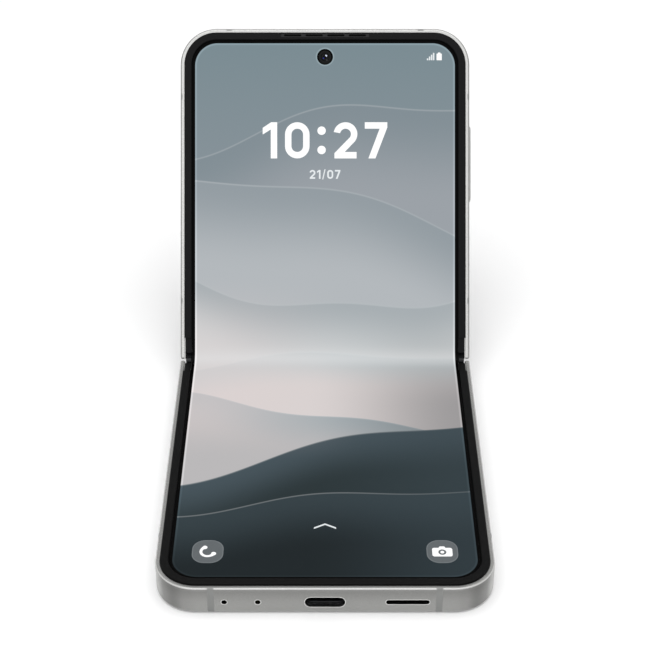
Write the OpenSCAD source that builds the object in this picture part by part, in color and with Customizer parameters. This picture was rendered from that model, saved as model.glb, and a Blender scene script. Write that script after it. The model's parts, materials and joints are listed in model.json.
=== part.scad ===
// Clamshell folding phone, standing open with its lower half flat on its back.
// Millimetres. x runs to the right, y away from the user, z up.
// Each half is drawn in its own frame: u runs from its fold axis to its free end,
// w is the height above its display face. The spine has its own frame between the two axes.

/* [Body] */
// Width across the side rails
body_w = 71.9; // [68:0.1:76]
// Length of one half, from its fold axis to its free end
half_len = 81.25; // [79:0.25:86]
// Thickness of one half, from the rear face to the display face
half_t = 6.9; // [6.8:0.1:7.6]
// Radius of the free corners, seen from the front
corner_r = 9; // [7:0.5:11]
// Radius along the rear outer edge
rear_edge_r = 0.9; // [0.5:0.05:0.95]
// Radius along the front outer edge
front_edge_r = 0.45; // [0.2:0.05:0.6]
// Width of the bright rim beside the bezel
rim_w = 0.95; // [0.8:0.05:1.2]
// Thickness of the rails behind the rim
rail_t = 1.6; // [1.4:0.1:1.8]
// Drop of the bezel ledge below the display face
ledge_drop = 0.4; // [0.3:0.05:0.5]
// Distance of the display pocket from the outer edge
pocket_in = 2.35; // [2.2:0.05:2.6]
// Thickness of the rear glass
glass_t = 0.6; // [0.5:0.05:0.7]
// Distance of the rear glass from the outer edge
glass_in = 1.05; // [1:0.05:1.3]
// Clearance round a piece that is glued or dropped into a pocket
seat_gap = 0.05; // [0.03:0.01:0.08]

/* [Fold] */
// Angle between the two display faces as the phone stands
open_angle = 124; // [110:1:170]
// Depth of each fold axis below the display face
axis_depth = 0.75; // [0.7:0.01:0.8]
// Gap between the two display faces when the phone is closed
closed_gap = 1.1; // [1.06:0.02:1.2]
// Radius of the rounded rail ends about the fold axis
end_r = 0.95; // [0.85:0.05:1]
// Thickness of the skin behind the spine
hinge_skin = 1.1; // [1.05:0.05:1.2]
// Thickness of each rail beside the spine
rail_end_t = 1.2; // [1.1:0.05:1.4]
// Running gap between spine and halves
spine_gap = 0.15; // [0.1:0.05:0.2]
// Height from the spine's back to the fold axes
spine_drop = 3.85; // [3.8:0.05:4]
// Wall of the spine cover
spine_wall = 0.5; // [0.4:0.05:0.55]
// Length of each hinge bar, from the fold axis
bar_len = 14; // [13.8:0.1:16]
// Start of the display panel and of the wide bezel, from the fold axis
panel_start = 3.5; // [3:0.1:4]
// Radius of the display through the fold as the phone stands
fold_r = 5; // [4.5:0.1:7]

/* [Hinge modules] */
// Distance of each hinge module's inner end from the side of the phone
module_in = 20.45; // [20:0.05:22.5]
// Pitch radius of the four timing gears
gear_pitch_r = 1.133; // [1.1:0.005:1.15]
// Number of teeth on each timing gear
gear_teeth = 10; // [10:2:10]
// Radius of the gear journals
journal_r = 0.42; // [0.38:0.01:0.45]
// Running clearance of journals, pins and rails
run_gap = 0.05; // [0.03:0.01:0.07]
// Inner radius of the arc rails
rail_r0 = 1.8; // [1.7:0.05:1.9]
// Outer radius of the arc rails
rail_r1 = 2.6; // [2.5:0.02:2.62]
// Width of each arc rail
arc_rail_w = 2.8; // [2.4:0.1:3]
// Thickness of the walls in a hinge bracket
bracket_wall = 0.7; // [0.5:0.05:0.8]
// Width of the timing gears and their arms
gear_w = 2.1; // [1.8:0.05:2.3]
// Thickness of the links where they cross the spine wall
link_t = 0.45; // [0.4:0.01:0.45]
// Depth of the links below the fold axis
link_drop = 0.5; // [0.5:0.01:0.55]
// Length of each timing arm, from its gear to its pin
arm_len = 8; // [7.8:0.1:8.4]
// Radius of the pin on each timing arm
pin_r = 0.35; // [0.3:0.01:0.36]
// Number of friction discs in each pack
disc_count = 6; // [3:1:7]
// Tilt of the wing plates when the phone is closed, in degrees
wing_tilt = 2.5; // [1:0.1:2.6]

/* [Display and bezel] */
// Thickness of the folding display
display_t = 0.6; // [0.5:0.02:0.62]
// Rise of the bezel above the display face
bezel_rise = 0.5; // [0.4:0.01:0.52]
// Distance of the bezel's inner edge from the outer edge
bezel_in = 2.85; // [2.6:0.05:3]
// Radius of the punch hole for the front camera
punch_r = 2; // [1.5:0.1:2.2]
// Distance of the front camera from the free end
punch_in = 7; // [6.5:0.1:8]
// Length of the earpiece grille
ear_len = 21.9; // [18:0.1:24]
// Width of the earpiece grille
ear_w = 0.9; // [0.8:0.05:1]
// Distance of the earpiece grille from the free end
ear_in = 1.73; // [1.65:0.01:1.8]

/* [Keys and tray] */
// Length of the volume key
volume_len = 18.9; // [16:0.1:20]
// Distance of the volume key's middle from the free end
volume_in = 33.45; // [32:0.05:34]
// Rise of the volume key above the rail
volume_rise = 0.5; // [0.3:0.05:0.7]
// Length of the side key
side_len = 13.3; // [11:0.1:15]
// Distance of the side key's middle from the free end
side_in = 57.65; // [56:0.05:59]
// Rise of the side key above the rail
side_rise = 0.2; // [0.1:0.05:0.4]
// Width of both keys
key_w = 2.2; // [1.8:0.1:2.6]
// Travel of the keys
key_travel = 0.2; // [0.15:0.01:0.25]
// Length of the card tray's face
tray_len = 12.6; // [12:0.1:14]
// Width of the card tray's face
tray_w = 1.9; // [1.6:0.1:2.2]
// Depth of the card tray
tray_depth = 14; // [13:0.1:15]
// Distance of the card tray's middle from the free end
tray_in = 26.2; // [25.5:0.1:26.5]

/* [Ports] */
// Width of the data port opening
port_w = 8.34; // [8.34:0.01:8.34]
// Height of the data port opening
port_h = 2.56; // [2.56:0.01:2.56]
// Depth of the port, microphones and loudspeaker slot below the display face
port_drop = 3.7; // [3.6:0.05:3.9]
// Radius of the microphone holes
mic_r = 0.6; // [0.4:0.05:0.7]
// Length of the loudspeaker slot
slot_len = 9.1; // [7:0.1:11]
// Width of the loudspeaker slot
slot_w = 1.2; // [0.8:0.1:1.5]
// Distance of the loudspeaker slot's middle from the middle
slot_x = 17.25; // [16:0.05:19]

/* [Antenna bands] */
// Width of the plastic antenna bands
band_w = 1.4; // [1:0.1:1.8]
// Depth of the antenna bands in the rails
band_t = 0.5; // [0.3:0.05:0.6]
// Distance of the bands in the free end from the side
band_side = 12.15; // [11:0.05:14]
// Distance of the far side bands from the free end
band_far = 16.9; // [16:0.1:18]
// Distance of the near side bands from the fold axis
band_near = 13.5; // [13:0.05:15]

/* [Rear cameras] */
// Outer radius of each camera ring
ring_r = 6.6; // [6:0.1:7]
// Rise of each camera ring above the rear glass
ring_rise = 1.1; // [0.6:0.1:1.6]
// Wall of each camera ring
ring_wall = 0.9; // [0.6:0.05:1.2]
// Distance of the outer camera from the side
camera_side = 10.95; // [10.5:0.05:12]
// Spacing of the two cameras
camera_pitch = 15; // [14.6:0.1:16]
// Distance of the cameras from the free end
camera_in = 11; // [10:0.1:12]

/* [Batteries and boards] */
// Thickness of both batteries
battery_t = 3.9; // [3.5:0.1:4]
// Thickness of both boards
board_t = 0.6; // [0.5:0.05:0.8]
// Gap between the rails and the boards
wall_gap = 0.6; // [0.5:0.05:1]
// Gap round the batteries
cell_gap = 1; // [0.8:0.1:1.5]
// Length kept for the sub board and the loudspeaker at the lower free end
foot_len = 27.5; // [26:0.5:32]
// Length kept for the cameras at the upper free end
head_len = 24; // [23:0.5:26]
// Thickness of the vapour chamber
chamber_t = 0.35; // [0.3:0.05:0.5]

/* [Outer display] */
// Width of the outer display
cover_w = 62; // [58:0.5:63]
// Thickness of the outer display
cover_t = 0.8; // [0.6:0.05:0.9]
// Distance of the outer display from the fold axis
cover_u0 = 6.2; // [6:0.1:10]

/* [Hidden] */
$fn = 64;

half_w = body_w / 2;
half_turn = (180 - open_angle) / 2;
axis_gap = closed_gap + 2 * axis_depth;
recess_r = half_t - axis_depth - hinge_skin;
spine_r = recess_r - spine_gap;
spine_half = half_w - rail_end_t - 0.2;
cap_t = 1.25;
glass_u0 = end_r + 0.35;
rest_u = (glass_u0 + seat_gap + half_len - glass_in) / 2;
axis_y = rest_u;
axis_z = half_t - axis_depth;

module_x = half_w - module_in;

// Heights in a half, below the display face
link_bottom = link_drop + link_t;
bar_top = -axis_depth - link_bottom;
cavity_top = bar_top;
glass_top = -half_t + glass_t;
panel_r = corner_r - pocket_in - seat_gap;

// Gear train: two arm gears outside, two idlers inside
gear_add = 0.19;
gear_ded = 0.26;
gear_tip_r = gear_pitch_r + gear_add;
gear_root_r = gear_pitch_r - gear_ded;
gear_floor = 0.28;
gear_z = -spine_drop + spine_wall + gear_floor + gear_tip_r;
gear_y = [-3, -1, 1, 3] * gear_pitch_r;
tooth_step = 360 / gear_teeth;
// Half the width of a tooth at its foot, at the pitch circle and at its tip
tooth_arc = 2 * PI * gear_pitch_r / gear_teeth;
tooth_foot = 0.33 * tooth_arc;
tooth_mid = 0.215 * tooth_arc;
tooth_tip = 0.075 * tooth_arc;
// The pin of an arm runs on a circle of this radius in the half that it times
swing_r = norm([gear_y[3] - axis_gap / 2, gear_z]);
swing_a = atan2(gear_z, gear_y[3] - axis_gap / 2);
link_mid = -link_drop - link_t / 2;
pin_rise = link_mid - gear_z;
slot_half = pin_r + run_gap;
// Lowest edge of the flange that holds the arc slot, below the display face
flange_floor = -axis_depth - swing_r + pin_rise - slot_half - 0.45;

// Stations of a hinge module along x, from its inner end
near_rail = 0;
rail_pitch = arc_rail_w + 0.2;
mid_wall = near_rail + rail_pitch;
far_rail = mid_wall + bracket_wall + 0.1;
gear_wall = far_rail + rail_pitch;
gear_x = gear_wall + bracket_wall + 0.1;
pack_wall = gear_x + gear_w + 0.1;
disc_t = 0.45;
disc_gap = 0.05;
pack_len = disc_count * (disc_t + disc_gap) + disc_gap;
end_wall = pack_wall + bracket_wall + pack_len;
journal_end = end_wall + bracket_wall;
flange_x = gear_x + gear_w + 0.3;
flange_t = 1;
pad_u0 = recess_r + 0.2;
pad_u1 = pad_u0 + 8.15;
arm_tip = 0.8;
bracket_x1 = flange_x + flange_t;

// Places shared by holes and what goes into them
hinge_screws = [[near_rail + 1.7, pad_u1 - 2], [far_rail + 1.4, pad_u1 - 2], [mid_wall, pad_u0 + 2]];
key_u = [half_len - volume_in, half_len - side_in];
stem_r = 0.55;
stem_span = 0.38;
key_seat = 0.75;
key_drop = half_t / 2;
tray_u = half_len - tray_in;
tray_drop = 4.3;
mic_x = [-21, -14];
camera_u = half_len - camera_in;
camera_xs = [half_w - camera_side, half_w - camera_side - camera_pitch];
flash_x = camera_xs[1] - ring_r - 7.5;
flash_r = 2;
punch_u = half_len - punch_in;
port_wall = 0.3;
port_depth = 6.4;
wing_t = 0.25;
wing_rod_r = 0.25;
wing_u0 = 1.6;
wing_u1 = 9.2;
wing_top = -display_t - 0.03;
wing_w = half_w - 3.1;
mid_u0 = wing_u1 - wing_rod_r - 0.2;
strip_rise = 0.15;

// Room inside a half
room_x = half_w - pocket_in - wall_gap;
cell_x = room_x - 0.5;
cell_u0 = bar_len + cell_gap;
foot_u0 = half_len - foot_len;
head_u0 = half_len - head_len;
speaker_x = [slot_x - slot_len / 2 - 2.2, room_x - 3.2];
speaker_t = 3.75;
motor_x = [-room_x + 1, -room_x + 12.8];
motor_u1 = foot_u0 + 12.5;
lower_screws = [[-16, foot_u0 + 2.5], [speaker_x[0] - 4.5, foot_u0 + 2.5], [room_x - 1.8, foot_u0 + 2]];
upper_screws = [[room_x - 2.5, cell_u0 + 3], [room_x - 2.5, head_u0 - 10], [-16, half_len - 7]];
board_end = half_len - 3;
board_x0 = 5;
board_x1 = -18;
can_x = [board_x0 + 3, room_x - 4.5];
// The small can ends beside the flash
flash_can_x = flash_x - 2.4;
upper_board_top = cavity_top - chamber_t;
cover_u1 = half_len - camera_in - ring_r - 1;
corner_gap = 0.3;
screw_hole_r = 0.55;

// Spine section
spine_top = -0.45;
notch_z = -link_bottom - 0.1;
stem_end = 0.35;

// Frames

module on_x() rotate([90, 0, 90]) children();

module along_x(x0, x1) translate([x0, 0, 0]) on_x() linear_extrude(x1 - x0) children();

module place_lower() translate([0, axis_y, half_t]) mirror([0, 1, 0]) children();

module place_spine()
    translate([0, axis_y, axis_z]) rotate([half_turn, 0, 0]) translate([0, axis_gap / 2, 0])
    children();

module place_upper()
    place_spine() translate([0, axis_gap / 2, 0]) rotate([half_turn, 0, 0])
    translate([0, 0, axis_depth]) children();

// A half's own frame with its fold axis at zero height
module at_axis() translate([0, 0, -axis_depth]) children();

module both_x() { children(); mirror([1, 0, 0]) children(); }

// Flat shapes

module rounded(w, h, r) {
    square([w - 2 * r, h], center = true);
    square([w, h - 2 * r], center = true);
    for (x = [-1, 1], y = [-1, 1]) translate([x * (w / 2 - r), y * (h / 2 - r)]) circle(r);
}

module ring(r1, r0) difference() { circle(r1); circle(r0); }

// A bit that takes the corner off a square edge; it fills the corner at the origin
module corner_bit(r) difference() {
    translate([-0.5, -0.5]) square(r + 0.5);
    translate([r, r]) circle(r);
}

// Plan of a half, drawn in from the outer edge, with round free corners
module plan(inset, u0, r) {
    w = half_w - inset;
    u1 = half_len - inset;
    translate([-w, u0]) square([2 * w, u1 - r - u0]);
    translate([-w + r, u0]) square([2 * (w - r), u1 - u0]);
    for (x = [-1, 1]) translate([x * (w - r), u1 - r]) circle(r);
}

module plate(inset, u0, r, w0, w1) translate([0, 0, w0]) linear_extrude(w1 - w0) plan(inset, u0, r);

module block(x0, x1, u0, u1, w0, w1) translate([x0, u0, w0]) cube([x1 - x0, u1 - u0, w1 - w0]);

// Box with round upright edges
module soft_block(x0, x1, u0, u1, w0, w1, r)
    translate([(x0 + x1) / 2, (u0 + u1) / 2, w0]) linear_extrude(w1 - w0) rounded(x1 - x0, u1 - u0, r);

// Sweeps a section round the rails and the free end; s is measured in from the outer edge
module edge_sweep(u0) {
    c = half_w - corner_r;
    e = half_len - corner_r;
    both_x() translate([c, e, 0]) {
        rotate_extrude(angle = 90) translate([corner_r, 0]) mirror([1, 0]) children();
        rotate([90, 0, 0]) linear_extrude(e - u0) translate([corner_r, 0]) mirror([1, 0]) children();
    }
    translate([-c, e, 0]) on_x() linear_extrude(2 * c) translate([corner_r, 0]) mirror([1, 0]) children();
}

// Frame of a half

module rail_section() {
    low = -half_t + rear_edge_r;
    translate([0, low]) square([glass_in - seat_gap, -low - front_edge_r]);
    translate([front_edge_r, -front_edge_r - 0.1]) square([rim_w - front_edge_r, front_edge_r + 0.1]);
    translate([front_edge_r, -front_edge_r]) circle(front_edge_r);
    translate([rear_edge_r, -half_t]) square([glass_in - seat_gap - rear_edge_r, rear_edge_r]);
    translate([rear_edge_r, low]) circle(rear_edge_r);
    translate([rear_edge_r, glass_top]) square([rail_t - rear_edge_r, -ledge_drop - glass_top]);
    translate([rear_edge_r, bar_top]) square([pocket_in - rear_edge_r, -ledge_drop - bar_top]);
    translate([rear_edge_r, glass_top]) square([pocket_in - rear_edge_r, 0.8]);
}

// The rim narrows above the ledge
module rim_relief() translate([rim_w, -ledge_drop]) square([2, 1]);

module skin_section() translate([-0.5, -half_t - 0.5]) square([band_t + 0.5, half_t + 1]);

// Blocks that mark where the antenna bands cross the rails
module band_blocks(near) {
    band_x = half_w - band_side;
    both_x() block(band_x - band_w / 2, band_x + band_w / 2, half_len - 3, half_len + 1, -half_t - 1, 1);
    for (u = near ? [half_len - band_far, band_near] : [half_len - band_far])
        both_x() block(half_w - 3, half_w + 1, u - band_w / 2, u + band_w / 2, -half_t - 1, 1);
}

module rail_sweep() difference() {
    edge_sweep(-end_r) rail_section();
    edge_sweep(-end_r - 1) rim_relief();
}

// A band fills its slot in the outer skin of the rail
module bands(near) intersection() {
    rail_sweep();
    edge_sweep(0) skin_section();
    band_blocks(near);
}

// Seats for the two hinge modules in the bar
module bracket_pockets() both_x() translate([module_x, 0, 0]) {
    block(-0.15, bracket_x1 + 0.15, mid_u0 - 0.5, pad_u1 + 0.15, bar_top - 0.02, 0);
    block(gear_wall + 0.4, bracket_x1 + 0.15, recess_r - 0.6, pad_u1 + 0.15, flange_floor - 0.15,
        bar_top + 0.1);
    for (p = hinge_screws) translate([p.x, p.y, bar_top - 1.7]) cylinder(r = 0.5, h = 2);
}

module half_frame() difference() {
    union() {
        rail_sweep();
        // hinge bar
        block(-half_w + rail_t - 0.1, half_w - rail_t + 0.1, -end_r, bar_len, -half_t, bar_top);
        // plate behind the display
        plate(pocket_in - 0.2, mid_u0, corner_r - pocket_in + 0.2, bar_top, -display_t);
    }
    // recess for the spine
    at_axis() along_x(-half_w + rail_end_t, half_w - rail_end_t) circle(recess_r);
    // seat of the rear glass
    translate([0, 0, -half_t - 1]) linear_extrude(glass_t + 1)
        plan(glass_in - seat_gap, glass_u0, corner_r - glass_in + seat_gap);
    // rail ends, round about the fold axis and at their rear corner
    at_axis() along_x(-half_w - 1, half_w + 1) difference() {
        translate([-3, 0]) square([3, 3]);
        circle(end_r);
    }
    translate([0, -end_r, -half_t]) along_x(-half_w - 1, half_w + 1) corner_bit(0.5);
    both_x() translate([half_w, -end_r, -half_t - 1]) linear_extrude(half_t + 2)
        mirror([1, 0]) corner_bit(0.6);
    // groove for the rod of the wing plate
    translate([0, wing_u1, wing_top - wing_rod_r]) {
        along_x(-wing_w - 0.1, wing_w + 0.1) circle(wing_rod_r + run_gap);
        block(-wing_w - 0.1, wing_w + 0.1, -wing_rod_r - 1, 0, -0.1, 2);
    }
    bracket_pockets();
}

// Stadium outline across the wall of the free end or of a rail
module stadium(len, wid) {
    square([len - wid, wid], center = true);
    for (s = [-1, 1]) translate([s * (len - wid) / 2, 0]) circle(wid / 2);
}

module end_hole(x, w, depth) translate([x, half_len + 1, w]) rotate([90, 0, 0])
    linear_extrude(depth + 1) children();

module side_hole(side, u, w, depth) mirror([side < 0 ? 1 : 0, 0, 0])
    translate([half_w - depth, u, w]) on_x() linear_extrude(depth + 1) children();

module lower_frame() color("#a9a9a6") place_lower() difference() {
    half_frame();
    bands_cut(false);
    end_hole(0, -port_drop, 4) stadium(port_w + 0.1, port_h + 0.1);
    for (x = mic_x) end_hole(x, -port_drop, 4) circle(mic_r);
    end_hole(slot_x, -port_drop, 4) stadium(slot_len, slot_w);
    board_screw_places(lower_screws) cylinder(r = 0.45, h = 1.2);
}

module bands_cut(near) intersection() {
    edge_sweep(0) skin_section();
    band_blocks(near);
}

module board_screw_places(places) for (p = places) translate([p.x, p.y, cavity_top - 0.05])
    children();

module upper_frame() color("#a9a9a6") place_upper() difference() {
    half_frame();
    bands_cut(true);
    // pocket of the outer display, through the hinge bar and on between the rails
    block(-cover_w / 2 - 0.2, cover_w / 2 + 0.2, cover_u0 - 0.2, cover_u1 + 0.2, -half_t,
        glass_top + cover_t + 0.1);
    // front camera and earpiece
    translate([0, punch_u, -2]) cylinder(r = punch_r + 0.1, h = 3);
    // slot for the flexible circuit of the display
    block(-5, 5, half_len - 16, half_len - 13, bar_top - 0.1, 0);
    // keys
    side_hole(1, key_u[0], -key_drop, key_seat) stadium(volume_len + 0.3, key_w + 0.3);
    side_hole(1, key_u[1], -key_drop, key_seat) stadium(side_len + 0.3, key_w + 0.3);
    for (s = [-1, 1])
        side_hole(1, key_u[0] + s * stem_span * volume_len, -key_drop, 4) circle(stem_r + 0.15);
    side_hole(1, key_u[1], -key_drop, 4) circle(stem_r + 0.15);
    // card tray
    side_hole(-1, tray_u, -tray_drop, 4) stadium(tray_len + 0.2, tray_w + 0.2);
    // microphone in the free end
    end_hole(16, -port_drop, 4) circle(mic_r);
    board_screw_places(upper_screws) cylinder(r = 0.45, h = 1.2);
}

module rear_glass() translate([0, 0, -half_t]) linear_extrude(glass_t)
    plan(glass_in, glass_u0 + seat_gap, corner_r - glass_in);

module lower_rear_cover() color("#b9c0c6") place_lower() rear_glass();

module upper_rear_cover() color("#1b1d20") place_upper() difference() {
    rear_glass();
    for (x = camera_xs)
        translate([x, camera_u, -half_t - 1]) cylinder(r = ring_r - ring_wall - 0.4, h = 3);
    translate([flash_x, camera_u, -half_t - 1]) cylinder(r = flash_r + seat_gap, h = 3);
}

// Raised bezel with low strips beside the fold
module bezel_section() {
    s0 = rim_w + 0.03;
    round_r = 0.25;
    translate([s0, -ledge_drop]) square([pocket_in - s0, ledge_drop + 0.01]);
    translate([s0, 0]) square([bezel_in - s0, bezel_rise - round_r]);
    translate([s0 + round_r, 0]) square([bezel_in - s0 - 2 * round_r, bezel_rise]);
    for (s = [s0 + round_r, bezel_in - round_r]) translate([s, bezel_rise - round_r]) circle(round_r);
}

module half_bezel() {
    bezel_u0 = recess_r - axis_depth;
    edge_sweep(bezel_u0) bezel_section();
    both_x() {
        x0 = half_w - bezel_in + 0.05;
        x1 = half_w - rail_end_t - 0.1;
        translate([0, 0, -display_t]) linear_extrude(display_t + strip_rise) {
            translate([x0, 1]) square([x1 - x0, panel_start - 1 - seat_gap]);
            translate([(x0 + x1) / 2, 1.3]) rounded(x1 - x0, 1.4, 0.4);
        }
        block(x0, x1, panel_start - 0.2, bezel_u0 + 0.2, 0, strip_rise);
    }
}

module lower_bezel() color("#1d1d1f") place_lower() half_bezel();

module upper_bezel() color("#1d1d1f") place_upper() difference() {
    half_bezel();
    translate([0, half_len - ear_in, -1]) linear_extrude(3) rounded(ear_len + 0.1, ear_w + 0.1, 0.3);
}

// Display

module half_panel() translate([0, 0, -display_t]) linear_extrude(display_t)
    plan(pocket_in + seat_gap, panel_start, panel_r);

module display_lower() color("#3f484c") place_lower() half_panel();

module display_upper() color("#8f979c") place_upper() difference() {
    half_panel();
    translate([0, punch_u, -3]) cylinder(r = punch_r, h = 4);
}

// A point at radius r of the display's bend, past its arc by the margin m, on either side
function bend_end(r, side, m) = [side * (r * sin(half_turn) + m * cos(half_turn)),
    m * sin(half_turn) - r * cos(half_turn)];

// One face of the bend, from the lower half to the upper half
function bend_face(r, m) = concat([bend_end(r, -1, m)],
    [for (a = [-half_turn : half_turn / 8 : half_turn]) [r * sin(a), -r * cos(a)]], [bend_end(r, 1, m)]);

// The stretch that bends, drawn as the phone stands: an arc between two flat margins
module display_fold() color("#b9bfc2") {
    wide = body_w - 2 * bezel_in - 0.2;
    // distance from the fold axis at which the two display faces would meet, and where the arc starts
    meet_u = (axis_gap / 2 - axis_depth * sin(half_turn)) / cos(half_turn);
    arc_u = fold_r * tan(half_turn) - meet_u;
    meet_z = axis_depth * cos(half_turn) - meet_u * sin(half_turn);
    face = bend_face(fold_r, panel_start - arc_u);
    back = bend_face(fold_r + display_t, panel_start - arc_u);
    place_spine() translate([0, 0, meet_z + fold_r / cos(half_turn)]) along_x(-wide / 2, wide / 2)
        polygon(concat(face, [for (i = [len(back) - 1 : -1 : 0]) back[i]]));
}

// Wing plates under the fold, each on a rod at its outer edge
module wing() {
    tilt = wing_tilt * half_turn / 90;
    translate([0, wing_u1, wing_top - wing_rod_r]) rotate([tilt, 0, 0]) {
        along_x(-wing_w, wing_w) circle(wing_rod_r);
        block(-wing_w, wing_w, wing_u0 - wing_u1, 0, wing_rod_r - wing_t, wing_rod_r);
    }
}

module wing_plate_lower() color("#8b8d90") place_lower() wing();

module wing_plate_upper() color("#8b8d90") place_upper() wing();

// Spine

module spine_outline(r, drop, top) intersection() {
    union() {
        for (s = [-1, 1]) translate([s * axis_gap / 2, 0]) circle(r);
        translate([-axis_gap / 2, -r]) square([axis_gap, 2 * r]);
    }
    translate([-2 * r, -drop]) square([4 * r, drop + top]);
}

module spine_notches() both_x() translate([module_x, 0, 0]) {
    block(near_rail - 0.15, near_rail + rail_pitch, -9, 0, notch_z, 1);
    block(far_rail - 0.15, far_rail + rail_pitch, 0, 9, notch_z, 1);
    block(gear_x - 0.15, gear_x + gear_w + 0.15, -9, 9, notch_z, 1);
}

module spine_cover() color("#a4a5a6") place_spine() difference() {
    along_x(-spine_half + cap_t, spine_half - cap_t) difference() {
        spine_outline(spine_r, spine_drop, spine_top);
        spine_outline(spine_r - spine_wall, spine_drop - spine_wall, 1);
    }
    spine_notches();
}

module spine_end_caps() color("#202124") place_spine() both_x() {
    along_x(spine_half - cap_t, spine_half) {
        spine_outline(spine_r, spine_drop, spine_top);
        intersection() {
            translate([0, -0.5]) circle(0.9);
            translate([-2, -1]) square([4, 3]);
        }
    }
}

// Hinge modules

module right_side() translate([module_x, 0, 0]) children();

module left_side() mirror([1, 0, 0]) translate([module_x, 0, 0]) children();

module bracket_floor() spine_outline(spine_r - spine_wall - seat_gap, spine_drop - spine_wall, notch_z);

module core_disc() intersection() {
    circle(rail_r0 - run_gap);
    translate([-4, -4]) square([8, 4 - link_drop]);
}

module gear_wall_outline() {
    bracket_floor();
    translate([gear_y[0] - 0.9, notch_z - 0.1]) square([gear_y[3] - gear_y[0] + 1.8, -0.6 - notch_z + 0.1]);
}

module hinge_bracket() difference() {
    union() {
        // block with a round groove for the rail of each half
        along_x(near_rail, mid_wall) bracket_floor();
        along_x(far_rail - 0.1, gear_wall) bracket_floor();
        // wall that carries both cores
        along_x(mid_wall, mid_wall + bracket_wall) {
            bracket_floor();
            for (s = [-1, 1]) translate([s * axis_gap / 2, 0]) core_disc();
        }
        // walls that carry the journals
        for (x = [gear_wall, pack_wall, end_wall]) along_x(x, x + bracket_wall) gear_wall_outline();
        // floor under the gears and the friction packs
        along_x(gear_wall, end_wall) intersection() {
            bracket_floor();
            translate([-9, -spine_drop]) square([18, spine_wall + 0.18]);
        }
    }
    translate([0, -axis_gap / 2, 0]) along_x(near_rail - 1, mid_wall) groove_cut();
    translate([0, axis_gap / 2, 0]) along_x(mid_wall + bracket_wall, gear_wall) groove_cut();
    for (y = gear_y) translate([0, y, gear_z]) along_x(gear_wall - 1, end_wall + 2) circle(journal_r + 0.03);
}

// Everything inside the rail's outer radius goes; the core is put back from the wall
module groove_cut() circle(rail_r1 + run_gap);

module bracket_cores() {
    translate([0, -axis_gap / 2, 0]) along_x(near_rail, mid_wall) core_disc();
    translate([0, axis_gap / 2, 0]) along_x(mid_wall + bracket_wall, gear_wall) core_disc();
}

module hinge_bracket_right() color("#77797c") place_spine() right_side() {
    hinge_bracket();
    bracket_cores();
}

module hinge_bracket_left() color("#77797c") place_spine() left_side() {
    hinge_bracket();
    bracket_cores();
}

// Rotary bracket: an arc rail about the fold axis, a pad that is screwed to the bar
// and a flange with the arc slot for the arm's pin
module rotary_bracket(rail_x) at_axis() {
    sweep_end = 16;
    sweep_len = 139;
    translate([rail_x, 0, 0]) on_x() rotate([0, 0, -sweep_end - sweep_len]) rotate_extrude(angle = sweep_len)
        translate([rail_r0, 0]) square([rail_r1 - rail_r0, arc_rail_w]);
    block(rail_x, rail_x + arc_rail_w, rail_r0 - 0.05, pad_u0 + 1, -link_bottom, -link_drop);
    difference() {
        block(0, gear_wall - 0.2, pad_u0, pad_u1, -link_bottom, -link_drop);
        for (p = hinge_screws) translate([p.x, p.y, -link_bottom - 1]) cylinder(r = 0.55, h = 2);
        for (p = hinge_screws) translate([p.x, p.y, -link_drop - 0.25]) cylinder(r = 1, h = 1);
    }
    block(gear_wall - 0.3, bracket_x1, pad_u1 - 1.9, pad_u1, -link_bottom, -link_drop);
    difference() {
        block(flange_x, bracket_x1, pad_u0 + 0.1, pad_u1, flange_floor + axis_depth, -link_drop);
        translate([flange_x - 1, arm_len, pin_rise]) on_x() {
            rotate([0, 0, swing_a - 90]) rotate_extrude(angle = 90)
                translate([swing_r - slot_half, 0]) square([2 * slot_half, flange_t + 2]);
            for (a = [swing_a, swing_a - 90])
                rotate([0, 0, a]) translate([swing_r, 0, 0]) cylinder(r = slot_half, h = flange_t + 2);
        }
    }
}

module rotary_bracket_lower_right() color("#8f9092") place_lower() right_side() rotary_bracket(near_rail);

module rotary_bracket_lower_left() color("#8f9092") place_lower() left_side() rotary_bracket(near_rail);

module rotary_bracket_upper_right() color("#8f9092") place_upper() right_side() rotary_bracket(far_rail);

module rotary_bracket_upper_left() color("#8f9092") place_upper() left_side() rotary_bracket(far_rail);

module bracket_screws() both_x() translate([module_x, 0, 0]) for (p = hinge_screws)
    translate([p.x, p.y, -axis_depth - link_drop]) difference() {
        union() {
            translate([0, 0, -0.25]) cylinder(r = 0.95, h = 0.25);
            translate([0, 0, -2]) cylinder(r = 0.45, h = 2);
        }
        translate([0, 0, -0.15]) cylinder(r = 0.4, h = 1, $fn = 6);
    }

module hinge_screws_lower() color("#5c5e61") place_lower() bracket_screws();

module hinge_screws_upper() color("#5c5e61") place_upper() bracket_screws();

// Timing gear; a tooth points along +y when phase is zero
module gear_outline(phase) {
    flank = [[gear_root_r - 0.15, tooth_foot], [gear_root_r, tooth_foot], [gear_pitch_r, tooth_mid],
        [gear_tip_r, tooth_tip]];
    circle(gear_root_r);
    for (i = [0 : gear_teeth - 1]) rotate(phase + i * tooth_step)
        polygon(concat(flank, [for (j = [3 : -1 : 0]) [flank[j].x, -flank[j].y]]));
}

module gear(phase) translate([gear_x, 0, 0]) on_x() linear_extrude(gear_w) gear_outline(phase);

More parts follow.
